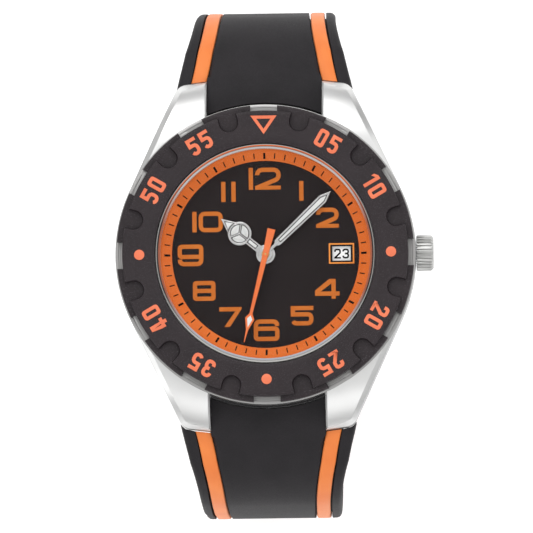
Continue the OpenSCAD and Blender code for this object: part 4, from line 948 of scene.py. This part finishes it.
def bored(verts, faces, cutters):
    """The closed mesh with cutters' shapes taken out of it."""
    pieces = []
    for v, f in [(verts, faces)] + cutters:
        data = bpy.data.meshes.new("bore")
        data.from_pydata([tuple(c * MM for c in p) for p in v], [], f)
        bm = bmesh.new()
        bm.from_mesh(data)
        bmesh.ops.remove_doubles(bm, verts=bm.verts, dist=WELD)
        bmesh.ops.recalc_face_normals(bm, faces=bm.faces)
        bm.to_mesh(data)
        bm.free()
        pieces.append(bpy.data.objects.new("bore", data))
        bpy.context.scene.collection.objects.link(pieces[-1])
    for cutter in pieces[1:]:
        m = pieces[0].modifiers.new("bore", "BOOLEAN")
        m.operation, m.solver, m.object = "DIFFERENCE", "EXACT", cutter
    bpy.context.view_layer.update()
    result = pieces[0].evaluated_get(bpy.context.evaluated_depsgraph_get()).to_mesh()
    out = ([tuple(c / MM for c in v.co) for v in result.vertices],
           [tuple(p.vertices) for p in result.polygons])
    for piece in pieces:
        data = piece.data
        bpy.data.objects.remove(piece)
        bpy.data.meshes.remove(data)
    return out


def slot(length, width, centre, degrees, low, high):
    """Cutter for a round-ended hole; degrees turns its axis from straight down to +Y."""
    c, r = Vector(centre), width / 2
    out, along = Vector((sind(degrees), -cosd(degrees))), Vector((cosd(degrees), sind(degrees)))
    plan = []
    for end, turn in ((1, 0), (-1, 180)):
        for k in range(9):
            u, v = polar(r, turn + 180 * k / 8)
            plan.append((u, v + end * (length / 2 - r)))
    loops = []
    for w in (low, high):
        loops.append([(u, *(c + along * v + out * w)) for u, v in plan])
    return skin(loops)


def box(x, y0, y1, z0, z1):
    """Cutter for a square hole, from -x to x."""
    loops = [[(-x, y0, z), (x, y0, z), (x, y1, z), (-x, y1, z)] for z in (z0, z1)]
    return skin(loops)


# Holes for the buckle's tongue: the one in use, the spare ones in the flat stretch and those
# in the bends, all as (length, width)
USED_HOLE, USED_HOLE_Y = (6.0, 2.2), -7.6
SPARE, SPARE_STEP, SPARE_ANGLES = (3.2, 2.0), 6.5, (19, 38)
BEND_CENTRE_Z = -LOOP_DEPTH + LOW_R
BORES = {
    "strap_12": [box(1.7, -4.6, -1.2, -LOOP_DEPTH - 3, -LOOP_DEPTH + 1)],
    "strap_6": [slot(*USED_HOLE, (USED_HOLE_Y, -LOOP_DEPTH), 0, -3, 7)]
    + [slot(*SPARE, (USED_HOLE_Y + SPARE_STEP * i, -LOOP_DEPTH), 0, 2.08, 7) for i in (1, 2, 3)]
    + [slot(*SPARE, (FLAT_Y, BEND_CENTRE_Z), a, LOW_R + 2.2, LOW_R + 5.5) for a in SPARE_ANGLES]
    + [slot(*SPARE, (-FLAT_Y, BEND_CENTRE_Z), -a, LOW_R - 0.5, LOW_R + 5.5) for a in SPARE_ANGLES],
}
both_halves = {"strap_12": (stations_12(), 1), "strap_6": (stations_6(), -1)}
STRIPE_STOPS_SHORT = 3
stripe_until = len(half_stations()) - STRIPE_STOPS_SHORT

for node, (stations, sign) in both_halves.items():
    tail = len(stations) - TAIL_STEPS if node == "strap_6" else None
    rubber = bored(*strap_mesh(stations, sign, stripe_until, tail), BORES[node])
    mesh_object(node + "_rubber", *rubber, "strap_rubber", "case", [node], sharp=40, bevel=0.09)
    inlay = stripe_mesh(stations, sign, stripe_until)
    mesh_object(node.replace("strap", "stripes"), *merged([inlay, mirror_part(inlay, -1, 1)]),
                "strap_orange", "case", [node.replace("strap", "strap_stripes")], sharp=50)


# ---- Luminous fillings of the hour and minute hand -------------------------

# Where the hands point at rest, in degrees clockwise from 12 o'clock
HOUR_ANGLE, MINUTE_ANGLE = 309.3, 46.7
EYE_Y = 4.47
EYE_R = 1.28
SPOKES = (30, 150, 270)
# The filling stays this far inside its window's edge
LUME_GAP = 0.1


def arc(cx, cy, r, a, b, count):
    """Points from direction a to direction b round a centre."""
    return [(cx + polar(r, a + (b - a) * i / count)[0], cy + polar(r, a + (b - a) * i / count)[1])
            for i in range(count + 1)]


def filling(outline, angle, bottom, top):
    """A low cushion a little smaller than its window, turned to the hand's angle."""
    loops = []
    for d, z in ((LUME_GAP, bottom), (LUME_GAP, top - 0.03), (LUME_GAP + 0.03, top)):
        loops.append([(x * cosd(angle) + y * sind(angle), y * cosd(angle) - x * sind(angle), z)
                      for x, y in inset(outline, d)])
    return skin(loops)


hour_windows = [
    [(-0.3, 1.5), (0.3, 1.5), (0.3, 3.0), (0, 2.97), (-0.3, 3.0)],
    [(0.762, 5.76), (0, 7.15), (-0.762, 5.76)] + arc(0, EYE_Y, 1.5, 114, 66, 6),
]
for spoke in SPOKES:
    start = polar(0.0808, spoke + 60)
    hour_windows.append([(start[0], EYE_Y + start[1])]
                        + arc(0, EYE_Y, EYE_R, spoke + 3.1, spoke + 116.9, 20))
minute_window = [(0.24, 2.55), (0.4, 10.6), (0, 11.5), (-0.4, 10.6), (-0.24, 2.55)]

hour_low, hour_high = cad("hour_hand_lume")
minute_low, minute_high = cad("minute_hand_lume")
mesh_object("hour_lume", *merged([filling(w, HOUR_ANGLE, hour_low.z, hour_high.z)
                                  for w in hour_windows]),
            "lume_white", "hour", ["hour_hand_lume"], sharp=60)
mesh_object("minute_lume", *filling(minute_window, MINUTE_ANGLE, minute_low.z, minute_high.z),
            "lume_white", "minute", ["minute_hand_lume"], sharp=60)


# ---- CAD nodes that stay ---------------------------------------------------

record_slots = {s["node"]: s["material_slot"] for s in frame["record"]["subparts"]}
ROUNDED = {
    "crown": 0.03, "buckle_frame": 0.35, "buckle_tongue": 0.16, "case_back": 0.08,
    "hour_hand": 0.045, "minute_hand": 0.04, "second_hand": 0.03, "dial_numerals": 0.015,
    "bezel_markings": 0.02, "date_window_frame": 0.015,
    "fixed_keeper": 0.35, "free_keeper": 0.35,
}
CORE_MARGIN = 0.17
CORE_LIFT = 0.012
# The flag at the top of the 1 in the bezel's 10, which is placed like the number itself
ONE_MINUTE = 10
ONE_RADIUS = 17.2
ONE_OFFSET = -0.95
ONE_SIZE = (0.48, 2.45)
ONE_FLAG = [(0.0, 0.0), (-0.5, -0.4), (-0.5, -0.85), (0.0, -0.475)]


def numeral_cores(node, body, margin):
    """Darker middles of the printed numerals: their top faces, drawn in by margin."""
    source = frame["nodes"][node]
    bm = bmesh.new()
    bm.from_mesh(source.data)
    bm.transform(source.matrix_world)
    top = max(v.co.z for v in bm.verts)
    under = [f for f in bm.faces if min(v.co.z for v in f.verts) < top - 0.001 * MM]
    bmesh.ops.delete(bm, geom=under, context="FACES")
    bmesh.ops.remove_doubles(bm, verts=bm.verts, dist=0.001 * MM)
    bmesh.ops.dissolve_limit(bm, angle_limit=math.radians(2), verts=bm.verts, edges=bm.edges)
    rim = bmesh.ops.inset_region(bm, faces=bm.faces[:], thickness=margin * MM,
                                 use_even_offset=True)["faces"]
    bmesh.ops.delete(bm, geom=rim, context="FACES")
    lifted = bmesh.ops.extrude_face_region(bm, geom=bm.faces[:])["geom"]
    bmesh.ops.translate(bm, vec=(0, 0, CORE_LIFT * MM),
                        verts=[g for g in lifted if isinstance(g, bmesh.types.BMVert)])
    bmesh.ops.recalc_face_normals(bm, faces=bm.faces)
    data = bpy.data.meshes.new(node + "_core")
    bm.to_mesh(data)
    bm.free()
    add_piece(node + "_core", data, "print_orange", body, look="numeral_core")


def bezel_flag():
    """The flag as a flat piece as thick as the other markings."""
    low, high = cad("bezel_markings")
    c, s = cosd(ONE_MINUTE * 6), sind(ONE_MINUTE * 6)
    width, height = ONE_SIZE
    plan = []
    for x, y in ONE_FLAG:
        x, y = x - width / 2 + ONE_OFFSET, y + height / 2 + ONE_RADIUS
        plan.append((x * c + y * s, y * c - x * s))
    loops = [[(*p, z) for p in plan] for z in (low.z, high.z)]
    mesh_object("bezel_markings_flag", *skin(loops), "bezel_orange", "bezel")


numeral_cores("dial_numerals", "case", CORE_MARGIN)
bezel_flag()

for node, slot in record_slots.items():
    piece = frame["nodes"][node]
    if piece.hide_render:
        continue
    piece.data.materials.clear()
    piece.data.materials.append(MATERIALS[slot])
    if node in ROUNDED:
        weld = piece.modifiers.new("weld", "WELD")
        weld.merge_threshold = WELD
        shade(piece, 35, ROUNDED[node], 3)


# ---- Floor, light and camera -----------------------------------------------

FLOOR_HALF = 2.0
FLOOR_GAP = 0.00002

floor_mesh = bpy.data.meshes.new("floor")
floor_mesh.from_pydata([(x * FLOOR_HALF, y * FLOOR_HALF, 0)
                        for x, y in ((-1, -1), (1, -1), (1, 1), (-1, 1))], [], [(0, 1, 2, 3)])
floor_mesh.materials.append(material("floor_paper", (0.86, 0.86, 0.86), (0.88, 0.88, 0.88),
                                     (0.8, 0.9), grain=0.6, bump=0.01, blotch=40,
                                     sockets={"Emission Color": (1, 1, 1, 1),
                                              "Emission Strength": 0.36}))
floor = bpy.data.objects.new("floor", floor_mesh)
floor.location = (0, 0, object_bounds()[0].z - FLOOR_GAP)
bpy.context.scene.collection.objects.link(floor)


def area_light(name, position, size, power):
    """A white softbox aimed at the origin; sizes in metres, power in watts."""
    data = bpy.data.lights.new(name, "AREA")
    data.shape = "RECTANGLE"
    data.size, data.size_y = size
    data.energy = power
    lamp = bpy.data.objects.new(name, data)
    lamp.location = position
    lamp.rotation_euler = (-Vector(position)).to_track_quat("-Z", "Y").to_euler()
    bpy.context.scene.collection.objects.link(lamp)


area_light("window", (-0.10, 0.42, 0.45), (0.5, 0.5), 1.9)
area_light("left_front", (-0.50, -0.35, 0.35), (0.35, 0.5), 0.9)
area_light("front", (0.10, -0.55, 0.38), (0.7, 0.4), 0.9)
area_light("right_back", (0.50, 0.10, 0.30), (0.3, 0.5), 0.7)

# The studio's brightness against the height of the direction, from level to straight up
SKY = [(0.0, 0.18), (0.12, 0.26), (0.35, 0.48), (0.62, 0.66), (0.93, 0.95)]

world = bpy.data.worlds.new("studio")
world.use_nodes = True
background = world.node_tree.nodes["Background"]
background.inputs["Strength"].default_value = 1.0
sky_where = world.node_tree.nodes.new("ShaderNodeTexCoord")
sky_split = world.node_tree.nodes.new("ShaderNodeSeparateXYZ")
sky_ramp = world.node_tree.nodes.new("ShaderNodeValToRGB")
stops = sky_ramp.color_ramp.elements
stops[0].position, stops[-1].position = SKY[0][0], SKY[-1][0]
for place, _ in SKY[1:-1]:
    stops.new(place)
for stop, (_, grey) in zip(stops, SKY):
    stop.color = (grey, grey, grey, 1)
link(world.node_tree, sky_where.outputs["Generated"], sky_split.inputs["Vector"])
link(world.node_tree, sky_split.outputs["Z"], sky_ramp.inputs["Fac"])
link(world.node_tree, sky_ramp.outputs["Color"], background.inputs["Color"])
bpy.context.scene.world = world
bpy.context.scene.view_settings.view_transform = "Standard"

# The camera looks down on the dial from a little below and to the right of its axis
TARGET = Vector((0.17, -1.80, 10.0)) * MM
DISTANCE = 1.8
TILT_DOWN, TILT_RIGHT, ROLL = 3.2, 1.4, 0.7
FIELD_WIDTH = 71.5 * MM
SENSOR = 36

camera_data = bpy.data.cameras.new("camera")
camera_data.sensor_width = SENSOR
camera_data.lens = SENSOR * DISTANCE / FIELD_WIDTH
camera_data.clip_start, camera_data.clip_end = 0.01, 10
camera = bpy.data.objects.new("camera", camera_data)
direction = Vector((math.tan(math.radians(TILT_RIGHT)), -math.tan(math.radians(TILT_DOWN)), 1))
direction.normalize()
camera.location = TARGET + direction * DISTANCE
right = Vector((0, 1, 0)).cross(direction).normalized()
turn = Matrix((right, direction.cross(right), direction)).transposed().to_4x4()
camera.rotation_euler = (turn @ Matrix.Rotation(math.radians(-ROLL), 4, "Z")).to_euler()
bpy.context.scene.collection.objects.link(camera)
bpy.context.scene.camera = camera
